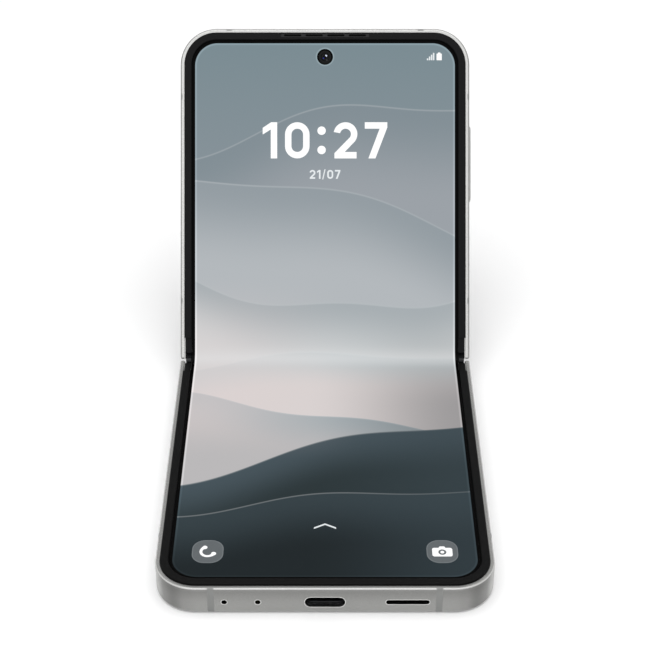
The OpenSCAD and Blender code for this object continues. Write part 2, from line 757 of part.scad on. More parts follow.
// The arm is drawn in the frame of the half that it times, from its own gear
module sync_arm(phase) {
    gear(phase);
    along_x(gear_x, gear_x + gear_w)
        polygon([[0, -0.6], [1.5, -0.15], [1.8, pin_rise - link_t / 2 - 0.25], [2.2, pin_rise - link_t / 2],
            [arm_len + arm_tip, pin_rise - link_t / 2], [arm_len + arm_tip, pin_rise + link_t / 2],
            [1.35, pin_rise + link_t / 2], [0.7, 0.5], [0, 0.3]]);
    along_x(gear_wall + 0.1, journal_end) circle(journal_r);
    translate([0, arm_len, pin_rise]) along_x(gear_x + 0.2, bracket_x1 - 0.1) circle(pin_r);
}

module idler(phase) {
    gear(phase);
    along_x(gear_wall + 0.1, pack_wall + bracket_wall - 0.1) circle(journal_r);
}

module lower_arm_place() place_spine() translate([0, gear_y[0], gear_z]) rotate([-half_turn, 0, 0])
    mirror([0, 1, 0]) children();

module upper_arm_place() place_spine() translate([0, gear_y[3], gear_z]) rotate([half_turn, 0, 0]) children();

module lower_idler_place() place_spine() translate([0, gear_y[1], gear_z]) rotate([half_turn, 0, 0])
    children();

module upper_idler_place() place_spine() translate([0, gear_y[2], gear_z]) rotate([-half_turn, 0, 0])
    children();

module sync_arm_lower_right() color("#9a9b9d") lower_arm_place() right_side() sync_arm(0);

module sync_arm_lower_left() color("#9a9b9d") lower_arm_place() left_side() sync_arm(0);

module sync_arm_upper_right() color("#9a9b9d") upper_arm_place() right_side() sync_arm(tooth_step / 2);

module sync_arm_upper_left() color("#9a9b9d") upper_arm_place() left_side() sync_arm(tooth_step / 2);

module idler_gear_lower_right() color("#b08d57") lower_idler_place() right_side() idler(tooth_step / 2);

module idler_gear_lower_left() color("#b08d57") lower_idler_place() left_side() idler(tooth_step / 2);

module idler_gear_upper_right() color("#b08d57") upper_idler_place() right_side() idler(0);

module idler_gear_upper_left() color("#b08d57") upper_idler_place() left_side() idler(0);

// Friction packs on the journals of the arm gears
module friction_discs() color("#c0a36b") place_spine() both_x() translate([module_x, 0, 0])
    for (y = [gear_y[0], gear_y[3]], i = [0 : disc_count - 1])
        translate([pack_wall + bracket_wall + disc_gap + i * (disc_t + disc_gap), y, gear_z])
            on_x() linear_extrude(disc_t) ring(gear_tip_r - 0.1, journal_r + run_gap);

// Inside the lower half

module cell(x0, x1, u1, t) soft_block(x0, x1, cell_u0, u1, cavity_top - t, cavity_top, 1.5);

module main_battery() color("#2b2f36") place_lower() cell(-cell_x, cell_x, foot_u0 - cell_gap, battery_t);

// Foil disc with four turns of flat wire
module charging_coil() color("#a9683a") place_lower() translate([0, (cell_u0 + foot_u0) / 2, 0]) {
    foil_t = 0.15;
    wire_t = 0.25;
    wire_w = 1.6;
    pitch = 2.2;
    low = cavity_top - battery_t - foil_t;
    outer_r = 17.2;
    translate([0, 0, low]) cylinder(r = outer_r + 0.8, h = foil_t);
    for (i = [0 : 3]) translate([0, 0, low - wire_t]) linear_extrude(wire_t)
        ring(outer_r - i * pitch, outer_r - i * pitch - wire_w);
}

module screw_holes(places) for (p = places) translate([p.x, p.y, -half_t])
    cylinder(r = screw_hole_r, h = half_t);

// Room for the round corner of the frame
module corner_room() translate([half_w - corner_r, half_len - corner_r, -half_t]) linear_extrude(half_t)
    difference() {
        square(corner_r);
        circle(corner_r - pocket_in - corner_gap);
    }

module sub_board() color("#1f5a3c") place_lower() difference() {
    port_x = port_w / 2 + port_wall + 0.2;
    soft_block(-room_x, speaker_x[0] - 1, foot_u0, board_end, cavity_top - board_t, cavity_top, 1);
    block(-port_x, port_x, half_len - rail_t - port_depth - 0.2, half_len, -half_t, 0);
    block(-room_x - 1, motor_x[1] + 0.7, foot_u0 - 1, motor_u1 + 0.7, -half_t, 0);
    mirror([1, 0, 0]) corner_room();
    screw_holes(lower_screws);
}

module usb_port() color("#8c8f92") place_lower() {
    deep = half_len - rail_t - 0.02;
    translate([0, deep, -port_drop]) rotate([90, 0, 0]) {
        linear_extrude(port_depth) difference() {
            stadium(port_w + 2 * port_wall, port_h + 2 * port_wall);
            stadium(port_w, port_h);
        }
        translate([0, 0, port_depth - 0.4]) linear_extrude(0.4) stadium(port_w, port_h);
        translate([-3.35, -0.35, 1]) cube([6.7, 0.7, port_depth - 1.2]);
    }
    // feet soldered to the board
    foot_w = cavity_top - board_t;
    both_x() block(port_w / 2 - 0.7, port_w / 2 + 2, deep - 4, deep - 1.5, foot_w - 0.2, foot_w);
}

module loudspeaker() color("#222326") place_lower() difference() {
    low = cavity_top - speaker_t;
    union() {
        soft_block(speaker_x[0], speaker_x[1], foot_u0, half_len - rail_t - 1, low, cavity_top, 1);
        // ear for its screw
        soft_block(speaker_x[1] - 1.3, room_x, foot_u0, foot_u0 + 4.2, cavity_top - board_t, cavity_top, 0.8);
        // snout behind the slot in the rail
        block(slot_x - slot_len / 2 - 0.6, slot_x + slot_len / 2 + 0.6, half_len - 4,
            half_len - rail_t - 0.02, -port_drop - slot_w / 2 - 0.5, -port_drop + slot_w / 2 + 0.5);
    }
    translate([slot_x, half_len, -port_drop]) rotate([90, 0, 0]) linear_extrude(6) stadium(slot_len, slot_w);
    // shallow well over the membrane
    translate([(speaker_x[0] + speaker_x[1]) / 2, foot_u0 + 9, low - 0.1]) linear_extrude(0.3)
        rounded(14, 11, 3);
    screw_holes(lower_screws);
}

module vibration_motor() color("#9d9fa1") place_lower()
    soft_block(motor_x[0], motor_x[1], foot_u0, motor_u1, cavity_top - 3.2, cavity_top, 0.8);

module microphones() color("#b6b08f") place_lower() for (x = mic_x) {
    low = -port_drop - mic_r - 0.4;
    difference() {
        block(x - 1.5, x + 1.5, half_len - rail_t - 3.2, half_len - rail_t - 0.02, low, cavity_top - board_t);
        translate([x, half_len, -port_drop]) rotate([90, 0, 0]) cylinder(r = mic_r, h = rail_t + 1.4);
    }
}

module antenna_bands_lower() color("#8f908e") place_lower() bands(false);

module small_screw() difference() {
    union() {
        translate([0, 0, -board_t - 0.35]) cylinder(r = 0.9, h = 0.35);
        translate([0, 0, -board_t - 0.2]) cylinder(r = 0.42, h = board_t + 1.1);
    }
    translate([0, 0, -board_t - 1]) cylinder(r = 0.35, h = 0.85, $fn = 6);
}

module board_screws_lower() color("#6a6c6f") place_lower()
    for (p = lower_screws) translate([p.x, p.y, cavity_top]) small_screw();

// Inside the upper half

module cover_display() color("#101418") place_upper()
    soft_block(-cover_w / 2, cover_w / 2, cover_u0, cover_u1, glass_top, glass_top + cover_t, 2);

module vapor_chamber() color("#a7643c") place_upper()
    soft_block(board_x0 + 1, can_x[1], cell_u0, head_u0, cavity_top - chamber_t, cavity_top, 3);

module main_board() color("#1d4f38") place_upper() difference() {
    low = upper_board_top - board_t;
    union() {
        soft_block(board_x0, room_x, cell_u0, board_end, low, upper_board_top, 1);
        soft_block(board_x1, 2 * board_x0, head_u0, board_end, low, upper_board_top, 1);
        // spacers to the plate where there is no vapour chamber
        for (x = [board_x1 + 6, room_x - 5])
            translate([x, head_u0 + 2.5, upper_board_top]) cylinder(r = 1.5, h = chamber_t);
    }
    for (x = camera_xs) soft_hole(x, camera_u, 5.6);
    soft_hole(0, punch_u, 3.4);
    corner_room();
    screw_holes(upper_screws);
}

module soft_hole(x, u, r) translate([x, u, -half_t]) linear_extrude(half_t) rounded(2 * r, 2 * r, 1);

module shield_cans() color("#b5b7b9") place_upper() {
    top = upper_board_top - board_t;
    can_t = 1.3;
    can_split = (cell_u0 + head_u0) / 2;
    soft_block(can_x[0], can_x[1], cell_u0 + 2, can_split - 1, top - can_t, top, 0.6);
    soft_block(can_x[0], can_x[1], can_split + 1, head_u0 - 4, top - can_t, top, 0.6);
    soft_block(flash_can_x - 8.5, flash_can_x, head_u0 + 6, head_u0 + 13, top - can_t + 0.2, top, 0.6);
}

// The second battery ends short of the card reader
module sub_battery() color("#2b2f36") place_upper()
    cell(-cell_x, board_x0 - 1.5, tray_u - tray_len / 2 - 0.75, battery_t - 0.15);

module front_camera() color("#15171a") place_upper() translate([0, punch_u, 0]) {
    translate([0, 0, -0.55]) cylinder(r = punch_r - 0.12, h = 0.4);
    translate([0, 0, -3.2]) cylinder(r = punch_r - 0.3, h = 2.8);
    translate([0, 0, -5.6]) linear_extrude(2.6) rounded(5, 5, 0.8);
}

module rear_camera(x, size) translate([x, camera_u, 0]) difference() {
    union() {
        translate([0, 0, glass_top + 0.9]) linear_extrude(cavity_top - glass_top - 0.9)
            rounded(size, size, 1.2);
        translate([0, 0, -half_t - 0.1]) cylinder(r = size / 2 - 1, h = 2);
    }
    translate([0, 0, -half_t - 0.2]) cylinder(r1 = size / 2 - 1.6, r2 = 1.6, h = 0.9);
}

module rear_camera_main() color("#1a1c1f") place_upper() rear_camera(camera_xs[0], 10.6);

module rear_camera_wide() color("#1a1c1f") place_upper() rear_camera(camera_xs[1], 9.6);

module camera_rings() color("#9fa0a1") place_upper() for (x = camera_xs)
    translate([x, camera_u, -half_t]) rotate_extrude() {
        // wall with a round lip, and a foot glued to the glass
        translate([ring_r - ring_wall, -ring_rise + 0.3]) square([ring_wall, ring_rise - 0.3]);
        translate([ring_r - ring_wall, -ring_rise]) square([ring_wall - 0.3, 0.3]);
        translate([ring_r - 0.3, -ring_rise + 0.3]) circle(0.3);
        translate([ring_r - ring_wall - 0.35, -0.35]) square([0.4, 0.35]);
    }

module camera_lenses() color("#0c0e12") place_upper() for (x = camera_xs)
    translate([x, camera_u, -half_t - ring_rise + 0.25])
        cylinder(r = ring_r - ring_wall - seat_gap, h = ring_rise - 0.6);

module flash_lens() color("#e8e4d0") place_upper() translate([flash_x, camera_u, -half_t]) {
    cylinder(r = flash_r, h = glass_t);
    translate([0, 0, glass_t]) linear_extrude(upper_board_top - board_t - glass_top)
        rounded(2.4, 2.4, 0.4);
}

// Bar with four slots
module earpiece_grille() color("#121214") place_upper() translate([0, half_len - ear_in, 0]) difference() {
    slot_pitch = ear_len / 4 - 0.1;
    translate([0, 0, -ledge_drop]) linear_extrude(ledge_drop + bezel_rise - 0.1)
        rounded(ear_len, ear_w, 0.25);
    for (i = [-1.5 : 1.5]) translate([i * slot_pitch, 0, -ledge_drop + 0.2]) linear_extrude(2)
        stadium(slot_pitch - 1.1, ear_w - 0.4);
}

module earpiece_speaker() color("#3a3b3e") place_upper()
    soft_block(-11, -4, board_end - 6, board_end - 0.4, upper_board_top - board_t - 2,
        upper_board_top - board_t, 0.8);

module key_switches() color("#c9b37a") place_upper() {
    x0 = half_w - rail_t - stem_end - key_travel - 0.05;
    x1 = x0 - 0.25;
    for (u = [key_u[0] - stem_span * volume_len, key_u[0] + stem_span * volume_len, key_u[1]])
        translate([x1, u, -key_drop]) on_x() cylinder(r = 1.1, h = 0.25);
    // the flexible strip that carries the domes
    block(x1 - 0.2, x1, key_u[1] - 3, key_u[0] + volume_len / 2, -key_drop - 1.3, -key_drop + 1.3);
    for (u = [key_u[1] - 3, key_u[0] + volume_len / 2 - 4])
        block(x1 - 0.2, half_w - rail_t, u, u + 1, -key_drop - 1.3, -key_drop + 1.3);
}

module sim_reader() color("#b3b5b7") place_upper() {
    x1 = -half_w + rail_t + 1;
    x0 = x1 + tray_depth;
    t = 0.25;
    low = -tray_drop - 0.55;
    high = -tray_drop + 0.55;
    half = tray_len / 2;
    difference() {
        block(x1, x0, tray_u - half - t, tray_u + half + t, low - t, high + t);
        block(x1 - 1, x0 - t, tray_u - half + 0.2, tray_u + half - 0.2, low, high);
        for (s = [-1, 1]) translate([(x0 + x1) / 2 + s * 3.6, tray_u, low - 1]) linear_extrude(1.1)
            rounded(4.4, 8, 0.8);
    }
    // legs up to the plate
    for (u = [tray_u - half - t, tray_u + half - 0.5])
        block(x0 - 3, x0 - 1, u, u + t + 0.5, high, cavity_top);
}

module antenna_bands_upper() color("#8f908e") place_upper() bands(true);

module board_screws_upper() color("#6a6c6f") place_upper()
    for (p = upper_screws) translate([p.x, p.y, cavity_top - chamber_t]) small_screw();

// Keys and card tray

// A key cap is a stadium bar with a soft outer edge
module key_cap(len, rise) translate([half_w - key_seat + key_travel + 0.05, 0, -key_drop]) on_x() {
    tall = key_seat - key_travel - 0.05 + rise;
    linear_extrude(tall - 0.25) stadium(len, key_w);
    linear_extrude(tall) stadium(len - 0.5, key_w - 0.5);
    translate([0, 0, tall - 0.25]) for (s = [-1, 1]) translate([s * (len - key_w) / 2, 0, 0])
        rotate_extrude() translate([key_w / 2 - 0.25, 0]) circle(0.25);
    for (s = [-1, 1]) translate([-(len - key_w) / 2, s * (key_w / 2 - 0.25), tall - 0.25])
        rotate([0, 90, 0]) cylinder(r = 0.25, h = len - key_w);
}

module stem() translate([half_w - rail_t - stem_end, 0, -key_drop]) on_x()
    cylinder(r = stem_r, h = rail_t + stem_end - 0.3);

module volume_key() color("#a3a3a1") place_upper() translate([0, key_u[0], 0]) {
    key_cap(volume_len, volume_rise);
    for (s = [-1, 1]) translate([0, s * stem_span * volume_len, 0]) stem();
}

module side_key() color("#9b9b99") place_upper() translate([0, key_u[1], 0]) {
    key_cap(side_len, side_rise);
    stem();
}

module sim_tray() color("#a3a3a1") place_upper() mirror([1, 0, 0]) translate([0, tray_u, -tray_drop]) {
    difference() {
        translate([half_w - rail_t - 0.3, 0, 0]) on_x() linear_extrude(rail_t + 0.3)
            stadium(tray_len, tray_w);
        translate([half_w - 4, tray_len / 2 - tray_w / 2 - 0.6, 0]) on_x() cylinder(r = 0.45, h = 6);
    }
    difference() {
        block(half_w - tray_depth, half_w - rail_t, -tray_len / 2 + 0.4, tray_len / 2 - 0.4, -0.4, 0.4);
        soft_block(half_w - tray_depth + 0.6, half_w - rail_t - 0.9, -4.4, 4.4, -0.2, 1, 0.5);
        soft_block(half_w - tray_depth + 1.4, half_w - rail_t - 2.2, -3.6, 3.6, -1, 1, 0.5);
    }
}

lower_frame();
lower_rear_cover();
lower_bezel();
display_lower();
rotary_bracket_lower_left();
rotary_bracket_lower_right();
hinge_screws_lower();
main_battery();
charging_coil();
sub_board();
usb_port();
loudspeaker();
vibration_motor();
microphones();
antenna_bands_lower();
board_screws_lower();
wing_plate_lower();
spine_cover();
spine_end_caps();
hinge_bracket_left();
hinge_bracket_right();
friction_discs();
display_fold();
sync_arm_lower_left();
sync_arm_lower_right();
sync_arm_upper_left();
sync_arm_upper_right();
idler_gear_lower_left();
idler_gear_lower_right();
idler_gear_upper_left();
idler_gear_upper_right();
wing_plate_upper();
upper_frame();
upper_rear_cover();
upper_bezel();
display_upper();
rotary_bracket_upper_left();
rotary_bracket_upper_right();
hinge_screws_upper();
cover_display();
vapor_chamber();
main_board();
shield_cans();
sub_battery();
front_camera();
rear_camera_main();
rear_camera_wide();
camera_rings();
camera_lenses();
flash_lens();
earpiece_grille();
earpiece_speaker();
key_switches();
sim_reader();
antenna_bands_upper();
board_screws_upper();
volume_key();
side_key();
sim_tray();
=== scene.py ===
"""A folding phone that stands half open: finishes, screen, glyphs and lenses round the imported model."""
import json
import math

import bmesh
import bpy
from mathutils import Matrix, Vector


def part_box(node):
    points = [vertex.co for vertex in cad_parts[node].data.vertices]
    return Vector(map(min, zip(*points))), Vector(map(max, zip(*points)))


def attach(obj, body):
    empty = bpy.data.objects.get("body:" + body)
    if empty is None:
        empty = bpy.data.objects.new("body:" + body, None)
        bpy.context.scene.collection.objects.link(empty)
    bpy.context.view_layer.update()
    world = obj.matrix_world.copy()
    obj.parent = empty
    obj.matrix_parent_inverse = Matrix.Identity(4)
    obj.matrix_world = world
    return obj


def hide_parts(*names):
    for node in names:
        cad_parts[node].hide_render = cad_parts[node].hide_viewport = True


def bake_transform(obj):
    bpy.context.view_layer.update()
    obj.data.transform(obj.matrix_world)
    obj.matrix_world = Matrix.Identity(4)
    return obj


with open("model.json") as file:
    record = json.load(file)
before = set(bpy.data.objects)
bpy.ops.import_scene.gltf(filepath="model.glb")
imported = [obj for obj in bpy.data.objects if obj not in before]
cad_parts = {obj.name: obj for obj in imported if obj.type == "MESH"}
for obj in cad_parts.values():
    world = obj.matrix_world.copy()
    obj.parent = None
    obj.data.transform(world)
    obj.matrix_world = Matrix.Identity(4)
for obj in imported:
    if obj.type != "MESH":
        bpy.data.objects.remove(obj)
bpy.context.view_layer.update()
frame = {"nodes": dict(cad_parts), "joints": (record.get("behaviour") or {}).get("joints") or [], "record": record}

MM = 0.001
NODES = frame["nodes"]
JOINTS = {joint["name"]: joint for joint in frame["joints"]}

# Places and turns in metres and radians, from the fold joints and the lower display's face
FOLD_LOW = Vector(JOINTS["fold_lower"]["pos_m"])
FOLD_UP = Vector(JOINTS["fold_upper"]["pos_m"])
SPINE_DIR = FOLD_UP - FOLD_LOW
SPINE_MID = (FOLD_LOW + FOLD_UP) / 2
HALF_TURN = math.atan2(SPINE_DIR.z, SPINE_DIR.y)
SPINE_TURN = Matrix.Rotation(HALF_TURN, 3, "X")
UPPER_TURN = Matrix.Rotation(2 * HALF_TURN, 3, "X")
FACE_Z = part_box("display_lower")[1].z
AXIS_DEPTH = FACE_Z - FOLD_LOW.z
AXIS_GAP = SPINE_DIR.length
LOWER_NORMAL = Vector((0, 0, 1))
UPPER_NORMAL = UPPER_TURN @ LOWER_NORMAL

# Sizes in millimetres, as in the solids. In a half, x is across, u runs from the fold axis to
# the free end, and w is the height over the display's face.
HALF_LEN = 81.25
HALF_T = 6.9
PANEL_X = 33.55
PANEL_END = 78.85
PANEL_START = 3.5
PANEL_R = 6.6
PANEL_T = 0.6
FOLD_R = 5.0
FOLD_X = 33.0
PUNCH_U = 74.25
PUNCH_R = 2.0
GRILLE_FLOOR_W = -0.1
GRILLE_TOP_W = 0.3
REAR_LENS_X = (25.0, 10.0)
REAR_LENS_U = 70.25
# The openings in the free end of the lower half, with z as the height over the table
PORT_Z = 3.2
PORT_SIZE = (8.44, 2.66)
SPEAKER_X = 17.25
SPEAKER_SIZE = (9.1, 1.2)
MIC_X = (-21.0, -14.0)
MIC_R = 0.6
# The lit part of the screen ends inside the panel
LIT_X = 32.3
LIT_END = 77.6
LIT_R = 5.6

# Two points this close are one, and two faces this close in angle are flat
SAME_PLACE = 1e-5
FLAT_ANGLE = 0.01
SHARP_ANGLE = math.radians(30)


def lower_at(x, u, w):
    """A point of the lower half, from millimetres in its own frame to metres in the row frame."""
    return Vector((x * MM, FOLD_LOW.y - u * MM, FACE_Z + w * MM))


def upper_at(x, u, w):
    """A point of the upper half."""
    return FOLD_UP + UPPER_TURN @ Vector((x * MM, u * MM, w * MM + AXIS_DEPTH))


def spine_at(x, y, z):
    """A point of the spine, whose frame lies midway between the fold axes."""
    return SPINE_MID + SPINE_TURN @ Vector((x * MM, y * MM, z * MM))


def free_end_at(x, z, out):
    """A point on the free end of the lower half, out from its face."""
    return Vector((x * MM, FOLD_LOW.y - (HALF_LEN + out) * MM, z * MM))


# Each half: its frame, its body, and the way its u runs along the screen
LOWER = (lower_at, "lower_half", -1)
UPPER = (upper_at, "upper_half", 1)


# The bend of the display: an arc between the two flat parts

def fold_numbers():
    """Where the fold's arc starts past an axis, its half length and its middle's height, in mm."""
    gap, depth = AXIS_GAP / MM, AXIS_DEPTH / MM
    meet_u = (gap / 2 - depth * math.sin(HALF_TURN)) / math.cos(HALF_TURN)
    arc_u = FOLD_R * math.tan(HALF_TURN) - meet_u
    centre_z = depth * math.cos(HALF_TURN) - meet_u * math.sin(HALF_TURN) + FOLD_R / math.cos(HALF_TURN)
    return arc_u, FOLD_R * HALF_TURN, centre_z


ARC_U, ARC_LEN, ARC_CENTRE_Z = fold_numbers()
FOLD_EXTRA = ARC_LEN - ARC_U


def screen_t(u):
    """Length along the display from the middle of the fold to a place u past a fold axis."""
    return u + FOLD_EXTRA


# Node trees

class Tree:
    """A short way to write a material's or a world's nodes."""

    def __init__(self, owner):
        owner.use_nodes = True
        self.nodes = owner.node_tree.nodes
        self.links = owner.node_tree.links
        self.nodes.clear()

    def add(self, kind, **values):
        """Adds a node and sets its properties."""
        node = self.nodes.new(kind)
        for key, value in values.items():
            setattr(node, key, value)
        return node

    def put(self, socket, value):
        """Sets a socket, or links it when the value is a socket."""
        if isinstance(value, bpy.types.NodeSocket):
            self.links.new(value, socket)
        else:
            socket.default_value = value

    def coordinate(self, kind):
        """A texture coordinate, such as Object or Normal."""
        return self.add("ShaderNodeTexCoord").outputs[kind]

    def parts(self, vector):
        """The X, Y and Z of a vector."""
        node = self.add("ShaderNodeSeparateXYZ")
        self.put(node.inputs[0], vector)
        return node.outputs

    def measure(self, operation, vector, fixed):
        """DOT_PRODUCT with a fixed direction, or DISTANCE from a fixed point."""
        node = self.add("ShaderNodeVectorMath", operation=operation)
        self.put(node.inputs[0], vector)
        node.inputs[1].default_value = fixed
        return node.outputs["Value"]

    def math(self, operation, *values, clamp=False):
        """One step of arithmetic on numbers or sockets."""
        node = self.add("ShaderNodeMath", operation=operation, use_clamp=clamp)
        for socket, value in zip(node.inputs, values):
            self.put(socket, value)
        return node.outputs[0]

    def product(self, first, *others):
        """The factors multiplied one after the other."""
        for other in others:
            first = self.math("MULTIPLY", first, other)
        return first

    def hypot(self, first, second):
        """The longest side of a right triangle from its other two."""
        squares = [self.math("POWER", part, 2.0) for part in (first, second)]
        return self.math("SQRT", self.math("ADD", *squares))

    def smooth(self, value, start, end):
        """A soft step from 0 at start to 1 at end, which may lie on either side of start."""
        node = self.add("ShaderNodeMapRange", interpolation_type="SMOOTHSTEP")
        self.put(node.inputs["Value"], value)
        self.put(node.inputs["From Min"], start)
        self.put(node.inputs["From Max"], end)
        return node.outputs["Result"]

    def mix(self, factor, first, second, blend="MIX"):
        """Two colours mixed, or blended in another way."""
        node = self.add("ShaderNodeMix", data_type="RGBA", blend_type=blend)
        self.put(node.inputs[0], factor)
        self.put(node.inputs[6], first)
        self.put(node.inputs[7], second)
        return node.outputs[2]

    def ramp(self, value, stops, ease="LINEAR"):
        """A colour ramp through (place, colour) stops."""
        node = self.add("ShaderNodeValToRGB")
        node.color_ramp.interpolation = ease
        elements = node.color_ramp.elements
        elements.remove(elements[1])
        elements[0].position, elements[0].color = stops[0]
        for place, colour in stops[1:]:
            elements.new(place).color = colour
        self.put(node.inputs["Fac"], value)
        return node.outputs["Color"]

    def noise(self, scale, detail=2.0):
        """Noise about 0.5, with scale in waves per metre."""
        node = self.add("ShaderNodeTexNoise")
        self.put(node.inputs["Vector"], self.coordinate("Object"))
        node.inputs["Scale"].default_value = scale
        node.inputs["Detail"].default_value = detail
        node.inputs["Roughness"].default_value = 0.55
        return node.outputs["Fac"]

    def clouded(self, colour, scale, spread, detail=2.0):
        """A colour that drifts about its middle by a share."""
        return self.mix(self.noise(scale, detail), scaled(colour, 1 - spread), scaled(colour, 1 + spread))

    def uneven(self, noise, middle, spread):
        """A number that follows noise about its middle."""
        return self.math("MULTIPLY_ADD", noise, spread, middle - spread / 2)

    def bump(self, height, distance):
        """A normal that follows a height map of a depth in metres."""
        node = self.add("ShaderNodeBump")
        node.inputs["Strength"].default_value = 0.5
        node.inputs["Distance"].default_value = distance
        self.put(node.inputs["Height"], height)
        return node.outputs["Normal"]

    def surface(self, **sockets):
        """A Principled shader on the output, with its sockets set or linked."""
        shader = self.add("ShaderNodeBsdfPrincipled")
        for key, value in sockets.items():
            self.put(shader.inputs[key.replace("_", " ")], value)
        output = self.add("ShaderNodeOutputMaterial")
        self.links.new(shader.outputs[0], output.inputs["Surface"])


def new_material(name):
    """A material and its empty node tree."""
    material = bpy.data.materials.new(name)
    return material, Tree(material)


# Colours as linear light, with alpha

def linear(code):
    """The colour of a hex code."""
    parts = [int(code[i:i + 2], 16) / 255 for i in (0, 2, 4)]
    return tuple(c / 12.92 if c <= 0.04045 else ((c + 0.055) / 1.055) ** 2.4 for c in parts) + (1.0,)


def coded(stops):
    """Stops of a ramp from (place, hex code) pairs."""
    return [(place, linear(code)) for place, code in stops]


def grey(light):
    """A neutral colour."""
    return (light, light, light, 1.0)


def scaled(colour, factor):
    """A colour made lighter or darker by a factor."""
    return tuple(c * factor for c in colour[:3]) + (1.0,)


# Plain finishes. Grain and clouds are in waves per metre, and the depth of grain in metres.

METAL_GRAIN, METAL_DEPTH = 9000.0, 0.000004
PLASTIC_GRAIN, PLASTIC_DEPTH = 6000.0, 0.000006
GLASS_GRAIN, MESH_GRAIN, PIXEL_GRAIN = 4000.0, 5000.0, 20000.0
METAL_CLOUDS, PLASTIC_CLOUDS, GLASS_CLOUDS = 90.0, 120.0, 40.0
FILM_CLOUDS, PAPER_CLOUDS = 300.0, 30.0
# How far the gloss of each follows its grain
METAL_SHEEN, PLASTIC_SHEEN, GLASS_SHEEN = 0.08, 0.1, 0.04


def blasted_metal(name, code, rough):
    """Bead-blasted metal: fine grain in tone and gloss, and faint clouds."""
    material, tree = new_material(name)
    colour = linear(code)
    fine = tree.noise(METAL_GRAIN)
    tone = tree.clouded(colour, METAL_CLOUDS, 0.05)
    tone = tree.mix(tree.product(fine, 0.16), tone, scaled(colour, 0.8))
    tree.surface(Base_Color=tone, Metallic=1.0, Roughness=tree.uneven(fine, rough, METAL_SHEEN),
                 Normal=tree.bump(fine, METAL_DEPTH))
    return material


def moulded(name, code, rough, level=0.5):
    """Moulded plastic or rubber with a fine skin."""
    material, tree = new_material(name)
    fine = tree.noise(PLASTIC_GRAIN)
    tone = tree.clouded(linear(code), PLASTIC_CLOUDS, 0.1)
    tree.surface(Base_Color=tone, Roughness=tree.uneven(fine, rough, PLASTIC_SHEEN),
                 Normal=tree.bump(fine, PLASTIC_DEPTH), Specular_IOR_Level=level)
    return material


def gloss_glass(name, code, rough, level=0.5):
    """Glass over a printed or frosted colour; rough is its roughness at its smoothest."""
    material, tree = new_material(name)
    colour = linear(code)
    fine = tree.noise(GLASS_GRAIN)
    tone = tree.clouded(colour, GLASS_CLOUDS, 0.04, detail=1.0)
    tone = tree.mix(tree.product(fine, 0.2), tone, scaled(colour, 0.9))
    gloss = tree.uneven(fine, rough + GLASS_SHEEN / 2, GLASS_SHEEN)
    tree.surface(Base_Color=tone, Roughness=gloss, Specular_IOR_Level=level)
    return material


def glow(name, code):
    """A lit patch of the screen, with the faint grain of its pixels."""
    material, tree = new_material(name)
    colour = linear(code)
    light = tree.mix(tree.noise(PIXEL_GRAIN, 0.0), scaled(colour, 0.98), colour)
    tree.surface(Base_Color=scaled(colour, 0.05), Roughness=0.3, Emission_Color=light, Emission_Strength=1.0)
    return material


MATERIALS = {
    "rear_glass": gloss_glass("frosted_silver_glass", "a9adb0", 0.34),
    "cover_glass": gloss_glass("black_cover_glass", "08090a", 0.05, level=0.4),
    "hinge_steel": blasted_metal("hinge_steel", "8f9194", 0.34),
    "gear_brass": blasted_metal("gear_brass", "b49661", 0.32),
    "screw_steel": blasted_metal("screw_steel", "6f7174", 0.28),
    "lens_glass": gloss_glass("plain_lens_glass", "0a0b0e", 0.06),
    "battery": moulded("battery_pouch", "2b2f36", 0.45),
    "copper": blasted_metal("copper_foil", "b8744a", 0.35),
    "board": moulded("board_green", "1f5a3c", 0.4),
    "port_steel": blasted_metal("port_steel", "74767a", 0.3),
    "module_black": moulded("module_black", "0f1011", 0.5, level=0.2),
    "motor_steel": blasted_metal("motor_steel", "9fa1a3", 0.25),
    "mic_gold": blasted_metal("mic_gold", "8f7f52", 0.35),
    "antenna_band": moulded("antenna_band", "8a8b89", 0.4, level=0.4),
    "spine_metal": blasted_metal("spine_aluminium", "a9a9a7", 0.3),
    "end_cap": moulded("end_cap_plastic", "18191b", 0.4, level=0.25),
    "cover_screen": gloss_glass("cover_screen", "050608", 0.04),
    "camera_ring": blasted_metal("camera_ring_metal", "b0b0ae", 0.22),
    "flash": gloss_glass("flash_lens", "e6e1cf", 0.25),
    "key_metal": blasted_metal("key_aluminium", "a4a4a2", 0.28),
    "tray_metal": blasted_metal("tray_aluminium", "a2a2a0", 0.28),
}


# Finishes that depend on the place in a half

# Painted light down the side of a rail, by depth as a share of the thickness: a painted darker band near the top,
# a painted highlight just above the bottom and painted shade at the bottom edge
SIDE_PAINTED_LIGHT = [(0.0, "8d8d8b"), (0.14, "858583"), (0.5, "999997"),
              (0.87, "a3a3a1"), (0.92, "c4c4c2"), (0.96, "8a8a88")]
# Painted reflection round a rail's corners, a darker band and then a lighter one, as brightness by how far the
# surface faces left or right
CORNER_PAINTED_REFLECTION = [(0.0, 1.0), (0.25, 0.9), (0.55, 0.6), (0.75, 0.72), (0.92, 1.25), (1.0, 1.1)]
# The painted highlight of the rounded front edge lies between the side and the flat rim, by how far a surface
# faces up
EDGE_FROM_SIDE, EDGE_TO_RIM, RIM_FROM_EDGE = (0.3, 0.55), (0.97, 0.88), (0.88, 0.97)
# Both fade out between these depths, as shares of the thickness
FRONT_DEPTH = (0.12, 0.08)
# How far they scatter light instead of mirroring it
EDGE_MATT, RIM_MATT = 0.7, 0.55
RAIL_ROUGH, BEZEL_ROUGH = 0.27, 0.5
# A bezel turns from its sides, painted near black as the shade of the gap beside it, to its face where it faces up
# this far
BEZEL_FACE = (0.6, 0.97)


def facing_up(tree, half_normal):
    """How far a surface faces the display side of its half: 1 straight at it, 0 sideways."""
    return tree.measure("DOT_PRODUCT", tree.coordinate("Normal"), half_normal)


